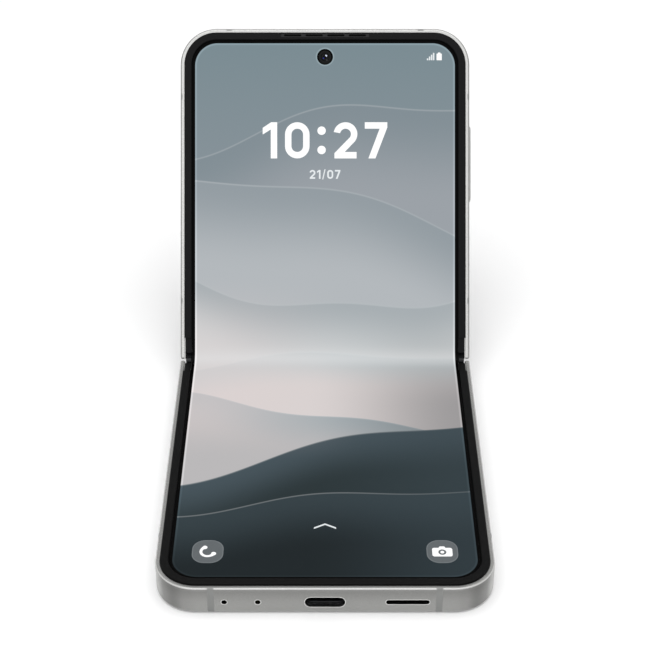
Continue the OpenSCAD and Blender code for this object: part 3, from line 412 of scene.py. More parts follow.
def rail_depth(tree, half_normal, face_point):
    """Depth below the half's display face, as a share of the half's thickness."""
    height = tree.measure("DOT_PRODUCT", tree.coordinate("Object"), half_normal)
    depth = tree.math("SUBTRACT", face_point.dot(half_normal), height)
    return tree.math("DIVIDE", depth, HALF_T * MM, clamp=True)


def rail_metal(name, half_normal, face_point, rim_painted_light_code, edge_highlight_code):
    """Blasted metal of a half's rails with painted light: a painted highlight on the front edge and rim, and bands
    of painted highlight and shade on the sides and round the corners.
    """
    material, tree = new_material(name)
    up = facing_up(tree, half_normal)
    depth = rail_depth(tree, half_normal, face_point)
    # painted highlight and painted shade down the side, by depth
    side = tree.ramp(depth, coded(SIDE_PAINTED_LIGHT))
    # a painted reflection round the corners, multiplied into the side's painted light
    sideways = tree.math("ABSOLUTE", tree.parts(tree.coordinate("Normal"))["X"])
    corner = tree.ramp(sideways, [(place, grey(light)) for place, light in CORNER_PAINTED_REFLECTION], "EASE")
    tone = tree.mix(1.0, side, corner, "MULTIPLY")
    # the flat rim's painted light and the painted highlight of its rounded edge, but nothing deeper, such as the
    # floor of an opening
    front = tree.smooth(depth, *FRONT_DEPTH)
    edge = tree.product(tree.smooth(up, *EDGE_FROM_SIDE), tree.smooth(up, *EDGE_TO_RIM), front)
    rim = tree.product(tree.smooth(up, *RIM_FROM_EDGE), front)
    tone = tree.mix(rim, tone, linear(rim_painted_light_code))
    tone = tree.mix(edge, tone, linear(edge_highlight_code))
    # both scatter light, so that the painted highlights stay bright from every side
    matt = tree.math("MULTIPLY_ADD", edge, EDGE_MATT, tree.product(rim, RIM_MATT))
    fine = tree.noise(METAL_GRAIN)
    tone = tree.mix(tree.product(tree.noise(METAL_CLOUDS), 0.12), tone, grey(0.2))
    tone = tree.mix(tree.product(fine, 0.14), tone, linear("70706e"))
    tree.surface(Base_Color=tone, Metallic=tree.math("SUBTRACT", 1.0, matt),
                 Roughness=tree.uneven(fine, RAIL_ROUGH, METAL_SHEEN), Normal=tree.bump(fine, METAL_DEPTH))
    return material


def bezel_material(name, half_normal, code):
    """Moulded rubber, its sides painted near black as shade and its face a touch lighter."""
    material, tree = new_material(name)
    fine = tree.noise(PLASTIC_GRAIN)
    face = tree.mix(tree.noise(PLASTIC_CLOUDS), linear(code), scaled(linear(code), 1.2))
    # painted shade: the sides near black, the face in the rubber's own colour
    tone = tree.mix(tree.smooth(facing_up(tree, half_normal), *BEZEL_FACE), linear("010101"), face)
    tree.surface(Base_Color=tone, Roughness=tree.uneven(fine, BEZEL_ROUGH, PLASTIC_SHEEN),
                 Normal=tree.bump(fine, PLASTIC_DEPTH), Specular_IOR_Level=0.1)
    return material


def grille_material():
    """The earpiece bar: a dark moulding, with the bottom of its slots painted black, the dark mesh deepened by
    painted shade of the slots.
    """
    material, tree = new_material("earpiece_bar")
    height = tree.measure("DOT_PRODUCT", tree.coordinate("Object"), UPPER_NORMAL)
    floor, top = (upper_at(0, 0, w).dot(UPPER_NORMAL) for w in (GRILLE_FLOOR_W, GRILLE_TOP_W))
    bar = tree.mix(tree.noise(MESH_GRAIN, 1.0), linear("262627"), linear("303031"))
    # below the slots' top, painted black: the mesh's dark colour and painted shade of the slots
    tone = tree.mix(tree.smooth(height, floor, top), linear("020202"), bar)
    tree.surface(Base_Color=tone, Roughness=0.55, Specular_IOR_Level=0.12)
    return material


def dress(node, material):
    """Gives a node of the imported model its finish."""
    for slot in NODES[node].material_slots:
        slot.material = material


def dress_nodes():
    """The finish of each node's slot, then the finishes that depend on the place."""
    for row in frame["record"]["subparts"]:
        if row["material_slot"] in MATERIALS:
            dress(row["node"], MATERIALS[row["material_slot"]])
    dress("earpiece_grille", grille_material())
    # per half: the rubber's colour, the flat rim's colour (a painted highlight on the upper half) and the rounded
    # edge's colour (a painted highlight on the lower half)
    for half, normal, place, rubber_code, rim_painted_light_code, edge_highlight_code in (
            ("lower", LOWER_NORMAL, lower_at, "070707", "9c9c9a", "d2d2d0"),
            ("upper", UPPER_NORMAL, upper_at, "111112", "d4d4d2", "a2a2a0")):
        dress(half + "_frame", rail_metal("satin_painted_light_" + half, normal, place(0, 0, 0), rim_painted_light_code, edge_highlight_code))
        dress(half + "_bezel", bezel_material("rubber_" + half, normal, rubber_code))


# Wallpaper: soft layered waves from slate to pale grey and down to dark slate.
# Screen places are x across and t along it, from the fold towards the upper end, in millimetres.

UV_SCALE = 0.01

# Each wave: height t of its crest, sway of the crest as (size, waves per mm, phase) pairs,
# colour at the crest, colour further down and the length of the fade between them
WAVES = [
    (57, [(7, 0.045, 0.6), (2, 0.11, 2.0)], "828e95", "9ba1a7", 24),
    (37, [(9, 0.040, 2.6), (2.5, 0.09, 0.3)], "939ca2", "b3b8bc", 22),
    (18, [(6, 0.050, 4.4), (2, 0.12, 1.0)], "a7aeb2", "cfd2d3", 16),
    (-3, [(5, 0.042, 1.1), (1.5, 0.10, 3.0)], "c3c9cb", "d8d1d0", 14),
    (-22, [(7, 0.047, 3.3), (2, 0.13, 0.0)], "a5adb1", "bab8b9", 14),
    (-36, [(12, 0.034, 0.1), (2.5, 0.10, 1.6)], "46535a", "2c3639", 16),
    (-54, [(4, 0.050, 0.4), (1.5, 0.12, 2.2)], "364146", "20272a", 18),
]
# Length of the fade at the top
SKY_FADE = 40.0
# Softness of a crest, and the place, half width and strength of the line along it
CREST_SOFT = 0.12
CREST_LINE_IN, CREST_LINE_HALF, CREST_LINE = 0.15, 0.35, 0.16
# Where the blush and the shade start and where they are full, and their strength
BLUSH_X, BLUSH_LOW_T, BLUSH_HIGH_T, BLUSH = (10.0, -30.0), (-40.0, -18.0), (22.0, -2.0), 0.5
SHADE_X, SHADE_T, SHADE = (-5.0, 34.0), (15.0, -20.0), 0.55
# Half width and strength of the painted highlight along the bend
BEND_HALF, BEND_PAINTED_HIGHLIGHT = 5.0, 0.35
# The halo's two edges past the punch hole's, and its strength
HALO_IN, HALO_OUT, HALO = 0.15, 0.4, 0.5
# The lighter line's two edges inside the lit part's, and its brightness
LINE_OUT, LINE_IN, LINE_LIGHT = 0.35, 0.5, 1.32
LIT_SOFT = 0.03
# The film over the screen
FILM_ROUGH, FILM_SHEEN = 0.225, 0.05


def wallpaper_colour(tree, x, t):
    """The picture's colour at a screen place."""
    top = tree.math("DIVIDE", tree.math("SUBTRACT", screen_t(LIT_END), t), SKY_FADE, clamp=True)
    colour = tree.ramp(top, coded([(0.0, "7a8b92"), (1.0, "89939a")]))
    for crest, sway, near, far, fade in WAVES:
        edge = crest
        for size, pace, phase in sway:
            angle = tree.math("MULTIPLY_ADD", x, pace, phase)
            edge = tree.math("MULTIPLY_ADD", tree.math("SINE", angle), size, edge)
        below = tree.math("SUBTRACT", edge, t)
        inside = tree.smooth(below, -CREST_SOFT, CREST_SOFT)
        depth = tree.smooth(below, 0.0, float(fade))
        colour = tree.mix(inside, colour, tree.mix(depth, linear(near), linear(far)))
        # a thin bright line runs along each crest
        from_line = tree.math("ABSOLUTE", tree.math("ADD", below, -CREST_LINE_IN))
        line = tree.smooth(from_line, CREST_LINE_HALF, 0.0)
        colour = tree.mix(tree.product(line, CREST_LINE), colour, linear("e9eced"))
    return colour


def with_fold_tints(tree, colour, x, t):
    """Adds blush on the left below the fold, shade towards the right and a painted highlight along the bend."""
    near_fold = tree.product(tree.smooth(t, *BLUSH_LOW_T), tree.smooth(t, *BLUSH_HIGH_T))
    blush = tree.product(tree.smooth(x, *BLUSH_X), near_fold, BLUSH)
    colour = tree.mix(blush, colour, linear("ddd2d1"))
    shade = tree.product(tree.smooth(x, *SHADE_X), tree.smooth(t, *SHADE_T), SHADE)
    colour = tree.mix(shade, colour, linear("3a464c"))
    # a painted highlight along the bend, where the curved glass catches the light
    away = tree.smooth(tree.math("ABSOLUTE", t), 0.0, BEND_HALF)
    bend = tree.math("POWER", tree.math("SUBTRACT", 1.0, away), 2.0)
    return tree.mix(tree.product(bend, BEND_PAINTED_HIGHLIGHT), colour, linear("e4e5e6"))


def with_halo(tree, colour, x, t):
    """Adds a thin pale ring round the punch hole."""
    radius = tree.hypot(x, tree.math("SUBTRACT", t, screen_t(PUNCH_U)))
    halo = tree.smooth(radius, PUNCH_R + HALO_OUT, PUNCH_R + HALO_IN)
    return tree.mix(tree.product(halo, HALO), colour, linear("a9bcc2"))


def within_border(tree, colour, x, t):
    """Adds a lighter line just inside the lit part's rounded edge, and black outside it."""
    past = [tree.math("MAXIMUM", tree.math("SUBTRACT", tree.math("ABSOLUTE", place), edge - LIT_R), 0.0)
            for place, edge in ((x, LIT_X), (t, screen_t(LIT_END)))]
    corner = tree.hypot(*past)
    line = tree.smooth(corner, LIT_R - LINE_IN, LIT_R - LINE_OUT)
    colour = tree.mix(line, colour, grey(LINE_LIGHT), "MULTIPLY")
    lit = tree.smooth(corner, LIT_R + LIT_SOFT, LIT_R - LIT_SOFT)
    return tree.mix(lit, grey(0.0), colour)


def make_screen_material():
    """The lit screen under its film."""
    material, tree = new_material("screen_picture")
    place = tree.parts(tree.add("ShaderNodeUVMap", uv_map="screen").outputs[0])
    x, t = (tree.math("DIVIDE", place[axis], UV_SCALE) for axis in "XY")
    colour = wallpaper_colour(tree, x, t)
    for layer in (with_fold_tints, with_halo, within_border):
        colour = layer(tree, colour, x, t)
    gloss = tree.uneven(tree.noise(FILM_CLOUDS, 1.0), FILM_ROUGH, FILM_SHEEN)
    tree.surface(Base_Color=linear("020202"), Emission_Color=colour, Emission_Strength=1.0,
                 Roughness=gloss, Specular_IOR_Level=0.03)
    return material


# Flat shapes as lists of points in millimetres

def arc(centre, radius, start, stop, steps=16):
    """Points of an arc from start to stop, in degrees."""
    turn = (stop - start) / steps
    angles = [math.radians(start + i * turn) for i in range(steps + 1)]
    return [(centre[0] + radius * math.cos(a), centre[1] + radius * math.sin(a)) for a in angles]


def circle(centre, radius, steps=40):
    """Points of a whole circle."""
    return arc(centre, radius, 0, 360, steps)[:-1]


def round_box(x0, x1, y0, y1, radius, steps=8):
    """A box with round corners, anticlockwise."""
    points = []
    for x, y, start in ((x1, y0, -90), (x1, y1, 0), (x0, y1, 90), (x0, y0, 180)):
        centre = (x - radius if x == x1 else x + radius, y - radius if y == y1 else y + radius)
        points += arc(centre, radius, start, start + 90, steps)
    return points


def shifted(loops, dx, dy, scale=1.0):
    """Outlines scaled and then moved."""
    return [[(x * scale + dx, y * scale + dy) for x, y in loop] for loop in loops]


# Meshes

def prism(mesh, loops, low, high):
    """Adds a closed plate to a bmesh: the first loop is its outline and the others are holes."""
    edges = []
    for loop in loops:
        apart = [p for p, before in zip(loop, loop[-1:] + loop[:-1]) if math.dist(p, before) > SAME_PLACE]
        points = [mesh.verts.new((x, y, high)) for x, y in apart]
        edges += [mesh.edges.new((a, b)) for a, b in zip(points, points[1:] + points[:1])]
    filled = bmesh.ops.triangle_fill(mesh, use_beauty=True, use_dissolve=False, edges=edges)
    faces = [f for f in filled["geom"] if isinstance(f, bmesh.types.BMFace)]
    inner_edges = list({e for f in faces for e in f.edges})
    bmesh.ops.dissolve_limit(mesh, angle_limit=FLAT_ANGLE, verts=[], edges=inner_edges)
    faces = list({f for edge in edges if edge.is_valid for f in edge.link_faces})
    grown = bmesh.ops.extrude_face_region(mesh, geom=faces, use_keep_orig=True)
    moved = [v for v in grown["geom"] if isinstance(v, bmesh.types.BMVert)]
    bmesh.ops.translate(mesh, verts=moved, vec=(0, 0, low - high))


def revolve(mesh, centre, profile, steps=64):
    """Adds a closed turned piece: the profile is (radius, height) points from the axis and back to it."""
    rings = []
    for radius, height in profile:
        around = [centre] if radius < SAME_PLACE else circle(centre, radius, steps)
        rings.append([mesh.verts.new((x, y, height)) for x, y in around])
    for first, second in zip(rings, rings[1:]):
        for i in range(steps):
            ends = (i, (i + 1) % steps)
            corners = [first[k % len(first)] for k in ends] + [second[k % len(second)] for k in ends[::-1]]
            unique = list(dict.fromkeys(corners))
            if len(unique) > 2:
                mesh.faces.new(unique)


def mesh_object(mesh, name, material):
    """Makes a bmesh an object of the scene, shaded smooth between its sharp edges."""
    data = bpy.data.meshes.new(name)
    mesh.to_mesh(data)
    mesh.free()
    data.polygons.foreach_set("use_smooth", [True] * len(data.polygons))
    data.set_sharp_from_angle(angle=SHARP_ANGLE)
    data.materials.append(material)
    made = bpy.data.objects.new(name, data)
    bpy.context.scene.collection.objects.link(made)
    return made


def finish_piece(mesh, name, place, material, body, along=0):
    """Maps a bmesh from its own frame into the row frame and makes it a piece that rides a body.

    A piece that shows the picture says which way its u runs along the screen, 1 or -1.
    """
    if along:
        layer = mesh.loops.layers.uv.new("screen")
        for face in mesh.faces:
            for corner in face.loops:
                x, u, _ = corner.vert.co
                corner[layer].uv = (x * UV_SCALE, along * screen_t(u) * UV_SCALE)
    for vert in mesh.verts:
        vert.co = place(*vert.co)
    bmesh.ops.recalc_face_normals(mesh, faces=mesh.faces)
    piece = mesh_object(mesh, name, material)
    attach(piece, body)
    return piece


# Display

FOLD_STEPS = 28
# A place this far inside each half, listed for each strip but not used
BLEND_U = 2.2


def panel_outline():
    """Outline of the flat display of a half, with round corners at its free end."""
    points = [(-PANEL_X, PANEL_START), (PANEL_X, PANEL_START)]
    points += arc((PANEL_X - PANEL_R, PANEL_END - PANEL_R), PANEL_R, 0, 90)
    points += arc((-PANEL_X + PANEL_R, PANEL_END - PANEL_R), PANEL_R, 90, 180)
    return points


def make_panels(screen):
    """The flat parts of the display, the upper one with its punch hole."""
    punch = circle((0, PUNCH_U), PUNCH_R, steps=64)
    for name, half, holes, node in (
            ("screen_lower", LOWER, [], "display_lower"),
            ("screen_upper", UPPER, [punch], "display_upper")):
        place, body, along = half
        mesh = bmesh.new()
        prism(mesh, [panel_outline()] + holes, -PANEL_T, 0)
        piece = finish_piece(mesh, name, place, screen, body, along)
        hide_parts(node)


def fold_section(t, depth):
    """Place in the spine's frame, in mm, of a point of the bending stretch, depth below its face."""
    radius = FOLD_R + depth
    if abs(t) <= ARC_LEN:
        angle = t / FOLD_R
        return radius * math.sin(angle), ARC_CENTRE_Z - radius * math.cos(angle)
    side = math.copysign(1, t)
    margin = abs(t) - ARC_LEN
    y = side * (radius * math.sin(HALF_TURN) + margin * math.cos(HALF_TURN))
    return y, ARC_CENTRE_Z - radius * math.cos(HALF_TURN) + margin * math.sin(HALF_TURN)


def fold_ring(mesh, t):
    """The four corners of the bending stretch at a length t, as vertices with their screen places."""
    ring = []
    for x, depth in ((-FOLD_X, 0), (FOLD_X, 0), (FOLD_X, PANEL_T), (-FOLD_X, PANEL_T)):
        vert = mesh.verts.new(spine_at(x, *fold_section(t, depth)))
        ring.append((vert, (x * UV_SCALE, t * UV_SCALE)))
    return ring


def make_fold(screen):
    """The bending stretch as two strips that meet in the middle of the spine."""
    reach = screen_t(PANEL_START)
    middle = spine_at(0, 0, ARC_CENTRE_Z - FOLD_R)
    low, high = lower_at(0, BLEND_U, 0), upper_at(0, BLEND_U, 0)
    for name, first, last, pair, start, end in (
            ("screen_fold_lower", -reach, 0.0, ("lower_half", "hinge_spine"), low, middle),
            ("screen_fold_upper", 0.0, reach, ("hinge_spine", "upper_half"), middle, high)):
        mesh = bmesh.new()
        layer = mesh.loops.layers.uv.new("screen")
        rings = [fold_ring(mesh, first + (last - first) * i / FOLD_STEPS) for i in range(FOLD_STEPS + 1)]
        faces = [rings[0], rings[-1]]
        for near, far in zip(rings, rings[1:]):
            faces += [[near[k], near[(k + 1) % 4], far[(k + 1) % 4], far[k]] for k in range(4)]
        for corners in faces:
            face = mesh.faces.new([vert for vert, _ in corners])
            for corner, (_, uv) in zip(face.loops, corners):
                corner[layer].uv = uv
        bmesh.ops.recalc_face_normals(mesh, faces=mesh.faces)
        piece = mesh_object(mesh, name, screen)
        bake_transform(piece)
        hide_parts("display_fold")


# Screen glyphs: plain numbers of a clock and a date, status marks and two buttons.
# A digit is drawn 9 mm high, with a stroke of 1.6 mm.

DIGIT_H = 9.0
STROKE = 1.6
# Places of the glyphs: u along their half, and x across it
CLOCK_U, CLOCK_SCALE, CLOCK_GAP = 48.97, 1.0, 1.95
DATE_U, DATE_SCALE, DATE_GAP = 43.9, 0.245, 1.7
STATUS_U, SIGNAL_X, BATTERY_X = 73.4, 25.35, 27.75
CHEVRON_U = 62.0
BUTTON_U, BUTTON_X = 69.75, 24.95
# Low and high side of the thin plates, over the display's face
GLYPH_W = (0.004, 0.02)
BUTTON_W = (0.004, 0.012)
BUTTON_MARK_W = (0.014, 0.026)


def digit(mark):
    """(width, outlines) of one of the marks 0, 1, 2, 7, / and :, from its lower left corner."""
    if mark == "0":
        wide, round_r = 6.1, 3.05
        return wide, [round_box(0, wide, 0, DIGIT_H, round_r),
                      round_box(STROKE, wide - STROKE, STROKE, DIGIT_H - STROKE, round_r - STROKE)]
    if mark == "1":
        return 3.6, [[(2, 0), (3.6, 0), (3.6, 9), (2.1, 9), (0, 7.6), (0, 5.95), (2, 7.2)]]
    if mark == "2":
        centre, bow_r, first, last = (2.95, 6.05), 2.95, 170, -38
        outer = arc(centre, bow_r, first, last, steps=24)
        inner = arc(centre, bow_r - STROKE, last, first, steps=24)
        return 5.8, [outer + [(2.75, STROKE), (5.7, STROKE), (5.7, 0), (0.2, 0), (0.2, 1.3)] + inner]
    if mark == "7":
        return 5.6, [[(0, 9), (0, 7.4), (3.7, 7.4), (0.9, 0), (2.65, 0), (5.6, 7.7), (5.6, 9)]]
    if mark == "/":
        return 3.4, [[(0, -0.6), (1.1, -0.6), (3.4, 9.6), (2.3, 9.6)]]
    dot_r = 1.05
    return 2 * dot_r, [circle((dot_r, 2.1), dot_r), circle((dot_r, 6.9), dot_r)]


def line_of(marks, scale, gap):
    """Outlines of a row of digits, centred on x, as one list of outlines for each closed shape."""
    shapes, x = [], 0.0
    for mark in marks:
        width, loops = digit(mark)
        placed = shifted(loops, x, 0)
        shapes += [[loop] for loop in placed] if mark == ":" else [placed]
        x += width + gap
    middle = (x - gap) / 2
    return [shifted(loops, -middle * scale, 0, scale) for loops in shapes]


def signal_bars():
    """Four bars that grow to the right."""
    pitch, wide, first_tall, growth, round_r = 0.5, 0.36, 0.45, 0.46, 0.08
    bars = [(i * pitch, first_tall + i * growth) for i in range(4)]
    return [[round_box(left, left + wide, 0, tall, round_r, steps=2)] for left, tall in bars]


def battery_mark():
    """A full battery that stands upright, with its terminal on top."""
    wide, shoulder, neck, tall = 1.3, 1.6, 1.7, 1.92
    left, right = 0.35, 0.95
    return [[[(0, 0), (wide, 0), (wide, shoulder), (right, neck), (right, tall),
              (left, tall), (left, neck), (0, shoulder)]]]


def handset():
    """A handset seen from the side: a bow that is thick and round at both ends, open to the upper right."""
    bow_r, first, last, steps = 1.45, 118, 332, 28
    thin, thick = 0.3, 0.56
    outer, inner = [], []
    for i in range(steps + 1):
        place = 2 * i / steps - 1
        half = thin + (thick - thin) * place ** 6
        angle = math.radians(first + (last - first) * i / steps)
        outer.append(((bow_r + half) * math.cos(angle), (bow_r + half) * math.sin(angle)))
        inner.append(((bow_r - half) * math.cos(angle), (bow_r - half) * math.sin(angle)))
    tips = []
    for end, turn in ((last, 0), (first, 180)):
        angle = math.radians(end)
        centre = (bow_r * math.cos(angle), bow_r * math.sin(angle))
        tips.append(arc(centre, thick, end + turn, end + turn + 180, steps=8)[1:-1])
    return [[outer + tips[0] + inner[::-1] + tips[1]]]


def camera_mark():
    """A camera body with a raised finder and a lens."""
    half_wide, low, high, round_r = 2.15, -1.55, 1.15, 0.5
    lens, lens_r, pupil_r = (0, -0.2), 0.85, 0.42
    finder = [(0.75, high), (0.5, 1.6), (-0.5, 1.6), (-0.75, high)]
    body = round_box(-half_wide, half_wide, low, high, round_r)
    top = [i for i, (x, y) in enumerate(body) if abs(y - high) < SAME_PLACE]
    body = body[:top[0] + 1] + finder + body[top[0] + 1:]
    return [[body, circle(lens, lens_r)], [circle(lens, pupil_r)]]


def chevron():
    """A mark that points up."""
    tall, wide, thick = 1.3, 2.4, 0.483
    return [[[(-wide, 0), (0, tall), (wide, 0), (wide, -thick), (0, tall - thick), (-wide, -thick)]]]


def make_glyph(name, half, shapes, x, u, material, levels=GLYPH_W):
    """Thin lit plates on the screen of a half; the screen's top is towards the upper free end."""
    place, body, along = half
    mesh = bmesh.new()
    for loops in shapes:
        prism(mesh, [[(x + px, u + along * py) for px, py in loop] for loop in loops], *levels)
    finish_piece(mesh, name, place, material, body)


def make_buttons(white):
    """Two round-cornered buttons, each a plate with a rim and a mark."""
    plate = glow("button_plate", "555b5e")
    plate_rim = glow("button_rim", "666c6f")
    half_x, half_u, round_r, rim = 3.35, 3.6, 2.75, 0.22
    whole = round_box(-half_x, half_x, -half_u, half_u, round_r)
    inside = round_box(rim - half_x, half_x - rim, rim - half_u, half_u - rim, round_r - rim)
    for name, x, mark in (("call", -BUTTON_X, handset()), ("camera", BUTTON_X, camera_mark())):
        make_glyph(name + "_button", LOWER, [[inside]], x, BUTTON_U, plate, BUTTON_W)
        make_glyph(name + "_button_rim", LOWER, [[whole, inside]], x, BUTTON_U, plate_rim, BUTTON_W)
        make_glyph(name + "_mark", LOWER, mark, x, BUTTON_U, white, BUTTON_MARK_W)


def make_screen_marks():
    """The clock, the date, the status marks, the chevron and the buttons."""
    white = glow("glyph_white", "fafafa")
    pale = glow("glyph_pale", "dfe4e6")
    make_glyph("clock_digits", UPPER, line_of("10:27", CLOCK_SCALE, CLOCK_GAP), 0, CLOCK_U, white)
    make_glyph("date_digits", UPPER, line_of("21/07", DATE_SCALE, DATE_GAP), 0, DATE_U, pale)
    make_glyph("signal_bars", UPPER, signal_bars(), SIGNAL_X, STATUS_U, pale)
    make_glyph("battery_mark", UPPER, battery_mark(), BATTERY_X, STATUS_U, white)
    make_glyph("swipe_chevron", LOWER, chevron(), 0, CHEVRON_U, pale)
    make_buttons(white)


# Lenses: the front camera under the punch hole and the two rear cameras.
# Profiles are (radius, height) points in millimetres, in the upper half's frame.

# A painted glint is full up to the first share of its radius and gone at the second
PAINTED_GLINT_IN, PAINTED_GLINT_OUT = 0.5, 1.3
# How strongly the coated glass mirrors
FRONT_LEVEL, REAR_LEVEL = 0.04, 0.3


def lens_material(name, centres, stops, level, painted_glints=()):
    """Coated glass with rings about each centre; stops are (radius in mm, colour code).

    Each painted glint, a painted highlight or painted reflection on the glass, is (place, radius in mm, colour
    code).
    """
    material, tree = new_material(name)
    place = tree.coordinate("Object")
    # a metre is farther than any lens reaches
    radius = 1.0
    for centre in centres:
        radius = tree.math("MINIMUM", tree.measure("DISTANCE", place, centre), radius)
    reach = stops[-1][0] * MM
    rings = coded([(r * MM / reach, code) for r, code in stops])
    colour = tree.ramp(tree.math("DIVIDE", radius, reach), rings)
    # painted highlights and reflections mixed over the rings
    for glint_place, glint_r, code in painted_glints:
        away = tree.measure("DISTANCE", place, glint_place)
        near = tree.smooth(away, glint_r * PAINTED_GLINT_OUT * MM, glint_r * PAINTED_GLINT_IN * MM)
        colour = tree.mix(near, colour, linear(code))
    tree.surface(Base_Color=colour, Roughness=0.08, Specular_IOR_Level=level)
    return material


def dome(radius, rim, height, steps=12):
    """Profile of a shallow lens, from its top on the axis to its rim."""
    angles = [0.5 * math.pi * i / steps for i in range(steps + 1)]
    return [(radius * math.sin(a), rim + height * math.cos(a)) for a in angles]


def front_lens_material():
    """Dark rings about the punch hole's middle, with two bright painted highlights and two faint painted
    reflections.
    """
    rings = [(0, "030304"), (0.4, "050507"), (0.55, "1c1c1e"), (0.75, "1c1c1e"), (0.85, "0a0a0b"),
             (1.05, "0a0a0b"), (1.15, "1b1b1c"), (1.45, "1a1a1b"), (1.62, "030303"), (2.0, "020202")]
    # two painted highlights, a painted blue reflection and a painted grey crescent
    painted_glints = [(upper_at(x, PUNCH_U + u, w), r, code) for x, u, w, r, code in (
        (0.26, 0.36, -0.16, 0.19, "e8f0ff"),
        (0.38, 0.22, -0.16, 0.16, "dfe8ff"),
        (-0.36, -0.32, -0.16, 0.2, "2c3486"),
        (0.45, -0.78, -0.28, 0.24, "3c3c3e"))]
    centre = upper_at(0, PUNCH_U, -0.1)
    return lens_material("front_lens_rings", [centre], rings, FRONT_LEVEL, painted_glints)


def make_front_lens():
    """A stepped barrel with a small domed lens, over the camera's own face in the same glass."""
    coated = front_lens_material()
    dress("front_camera", coated)
    back, lens_r, lens_rim, lens_rise = -0.5, 0.94, -0.42, 0.3
    barrel = [(0.95, back), (1.0, -0.24), (1.12, -0.18), (1.22, -0.24), (1.32, -0.26), (1.45, -0.2),
              (1.8, -0.09), (1.9, -0.04), (1.985, -0.08), (1.985, back), (0.95, back)]
    glass = dome(lens_r, lens_rim, lens_rise) + [(lens_r, back), (0, back)]
    for name, profile, slot in (
            ("front_lens_barrel", barrel, "module_black"),
            ("front_lens_glass", glass, "lens_glass")):
        mesh = bmesh.new()
        revolve(mesh, (0, PUNCH_U), profile)
        finish_piece(mesh, name, upper_at, coated, "upper_half")


def make_rear_lenses():
    """A stepped lens stack in each ring, in place of the plain discs."""
    low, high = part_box("camera_lenses")
    pitch = REAR_LENS_X[0] - REAR_LENS_X[1]
    play = 0.02
    rim = ((high.x - low.x) / MM - pitch) / 2 - play
    face, back, chamfer = -7.75, -7.2, 0.05
    rings = [(0, "26305e"), (0.6, "141a3a"), (1.3, "080a14"), (1.9, "050608"), (2.4, "1b1c20"),
             (3.0, "0b0c0e"), (3.7, "191a1d"), (4.2, "0a0b0d"), (5.7, "070809")]
    lens_r, lens_rim, lens_rise = 1.9, 7.3, 0.36
    stack = [(r, -z) for r, z in dome(lens_r, lens_rim, lens_rise)]
    stack += [(2.0, -7.28), (2.35, -7.28), (2.4, -7.4), (2.95, -7.4), (3.0, -7.52), (3.65, -7.52),
              (3.7, -7.66), (4.3, -7.74), (4.35, face), (rim - chamfer, face), (rim, face + chamfer),
              (rim, back), (0, back)]
    centres = [upper_at(x, REAR_LENS_U, face) for x in REAR_LENS_X]
    glass = lens_material("rear_lens_glass", centres, rings, REAR_LEVEL)
    for name, x in zip(("main", "wide"), REAR_LENS_X):
        mesh = bmesh.new()
        revolve(mesh, (x, REAR_LENS_U), stack)
        piece = finish_piece(mesh, "rear_lens_" + name, upper_at, glass, "upper_half")
        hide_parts("camera_lenses")


# Painted highlights round the openings in the free end of the lower half: thin flush rings of light metal where
# the chamfers catch the light

def make_opening_rims():
    """A thin ring of light metal, a painted chamfer highlight, round the data port, the loudspeaker slot and each
    microphone hole.
    """
    # light metal that paints the highlight of a chamfer
    rim_highlight_metal = blasted_metal("painted_highlight_rim_metal", "dededc", 0.22)
    rim, sunk, proud = 0.13, -0.06, 0.006
    mic_size = (2 * MIC_R, 2 * MIC_R)
    for name, x, (wide, tall) in (
            ("port_rim", 0.0, PORT_SIZE),
            ("speaker_slot_rim", SPEAKER_X, SPEAKER_SIZE),
            ("mic_rim_left", MIC_X[0], mic_size),
            ("mic_rim_right", MIC_X[1], mic_size)):
        outlines = []
        for half_x, half_z in ((wide / 2 + rim, tall / 2 + rim), (wide / 2, tall / 2)):
            low, high = PORT_Z - half_z, PORT_Z + half_z
            outlines.append(round_box(x - half_x, x + half_x, low, high, half_z, steps=12))
        mesh = bmesh.new()
        prism(mesh, outlines, sunk, proud)
        finish_piece(mesh, name, free_end_at, rim_highlight_metal, "lower_half")


# Camera, floor, lights and world, in metres

# The floor reaches this far to the sides and the front, and curves up behind from FLOOR_BACK
FLOOR_HALF, FLOOR_BACK, FLOOR_CURVE_R, FLOOR_TOP = 3.2, 1.2, 0.5, 1.6
# How much lighter the floor looks than the light on it makes it
FLOOR_LIFT = 0.1
# The world turns white between these heights, as shares of straight up
HORIZON = (0.2, 0.1)


def make_camera():
    """A camera square to the upper display, as in the photograph."""
    focal_px, frame_px, sensor_mm = 1627.07, 650.0, 36.0
    eye_u, eye_w = 7.52, 405.6
    data = bpy.data.cameras.new("camera")
    data.sensor_width = sensor_mm
    data.lens = focal_px * sensor_mm / frame_px
    data.clip_start = 0.01
    camera = bpy.data.objects.new("camera", data)
    bpy.context.scene.collection.objects.link(camera)
    eye = FOLD_UP + UPPER_TURN @ Vector((0, eye_u * MM, eye_w * MM))
    camera.matrix_world = Matrix.Translation(eye) @ UPPER_TURN.to_4x4()
    bpy.context.scene.camera = camera


def seen_ray(tree):
    """1 for what the camera sees, also in reflections and through glass, and 0 for light."""
    path = tree.add("ShaderNodeLightPath")
    mirrored = tree.math("MAXIMUM", path.outputs["Is Glossy Ray"], path.outputs["Is Transmission Ray"])
    return tree.math("MAXIMUM", path.outputs["Is Camera Ray"], mirrored)


def floor_material():
    """Matt white paper that looks a little lighter than the light on it."""
    material, tree = new_material("floor_paper")
    tone = tree.mix(tree.noise(PAPER_CLOUDS), grey(0.93), grey(0.95))
    tree.surface(Base_Color=tone, Roughness=0.9, Emission_Color=grey(1.0),
                 Emission_Strength=tree.product(seen_ray(tree), FLOOR_LIFT))
    return material


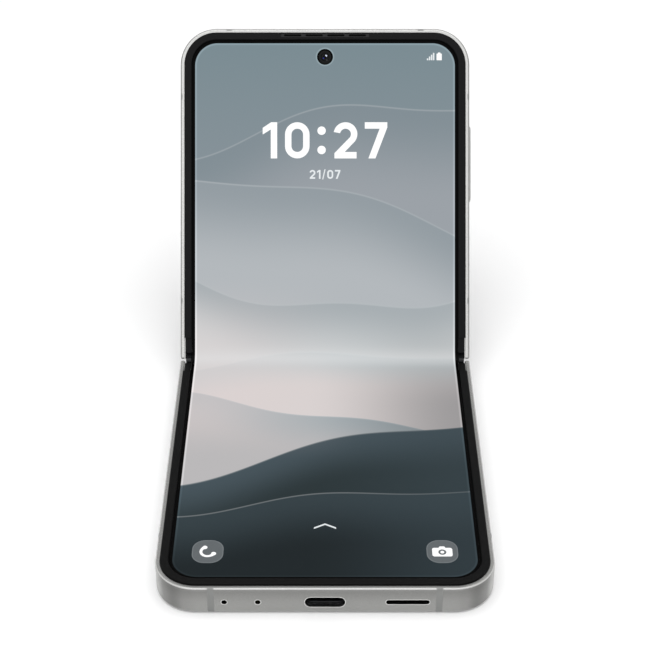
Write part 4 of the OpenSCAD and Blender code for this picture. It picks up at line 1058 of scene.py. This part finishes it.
def make_floor():
    """A wide pale floor that curves up behind."""
    section = [(-FLOOR_HALF, 0.0)]
    for degrees in range(0, 91, 6):
        angle = math.radians(degrees)
        y, z = FLOOR_CURVE_R * math.sin(angle), FLOOR_CURVE_R - FLOOR_CURVE_R * math.cos(angle)
        section.append((FLOOR_BACK + y, z))
    section.append((FLOOR_BACK + FLOOR_CURVE_R, FLOOR_TOP))
    mesh = bmesh.new()
    rows = [[mesh.verts.new((x, y, z)) for x in (-FLOOR_HALF, FLOOR_HALF)] for y, z in section]
    for near, far in zip(rows, rows[1:]):
        mesh.faces.new((near[0], near[1], far[1], far[0]))
    floor = mesh_object(mesh, "floor", floor_material())


def make_light(name, place, target, size, watts):
    """A flat rectangular lamp at a place, turned to its target."""
    data = bpy.data.lights.new(name, "AREA")
    data.shape = "RECTANGLE"
    data.size, data.size_y = size
    data.energy = watts
    lamp = bpy.data.objects.new(name, data)
    aim = Vector(target) - Vector(place)
    lamp.matrix_world = Matrix.Translation(place) @ aim.to_track_quat("-Z", "Y").to_matrix().to_4x4()
    bpy.context.scene.collection.objects.link(lamp)


def make_world():
    """A studio that is bright overhead and dimmer towards the horizon, so that metal shows its form."""
    world = bpy.data.worlds.new("studio")
    bpy.context.scene.world = world
    tree = Tree(world)
    height = tree.parts(tree.coordinate("Generated"))["Z"]
    light = tree.ramp(height, [(0.0, (0.20, 0.20, 0.21, 1.0)), (0.3, (0.42, 0.42, 0.43, 1.0)),
                               (0.7, grey(0.85)), (1.0, grey(0.95))])
    # the horizon behind the floor's far edge looks white, also in reflections
    horizon = tree.product(tree.smooth(height, *HORIZON), seen_ray(tree))
    background = tree.add("ShaderNodeBackground")
    tree.put(background.inputs["Color"], tree.mix(horizon, light, grey(1.0)))
    background.inputs["Strength"].default_value = 1.0
    output = tree.add("ShaderNodeOutputWorld")
    tree.links.new(background.outputs[0], output.inputs["Surface"])


make_camera()
dress_nodes()
screen_material = make_screen_material()
make_panels(screen_material)
make_fold(screen_material)
make_screen_marks()
make_front_lens()
make_rear_lenses()
make_opening_rims()
make_floor()
make_light("top_softbox", place=(0.0, -0.02, 0.75), target=(0, 0.03, 0.02), size=(0.7, 0.45), watts=1.9)
make_light("front_card", place=(-0.12, -0.72, 0.56), target=(0, 0.03, 0.03), size=(0.8, 0.6), watts=1.2)
make_world()
bpy.context.scene.view_settings.view_transform = "Standard"
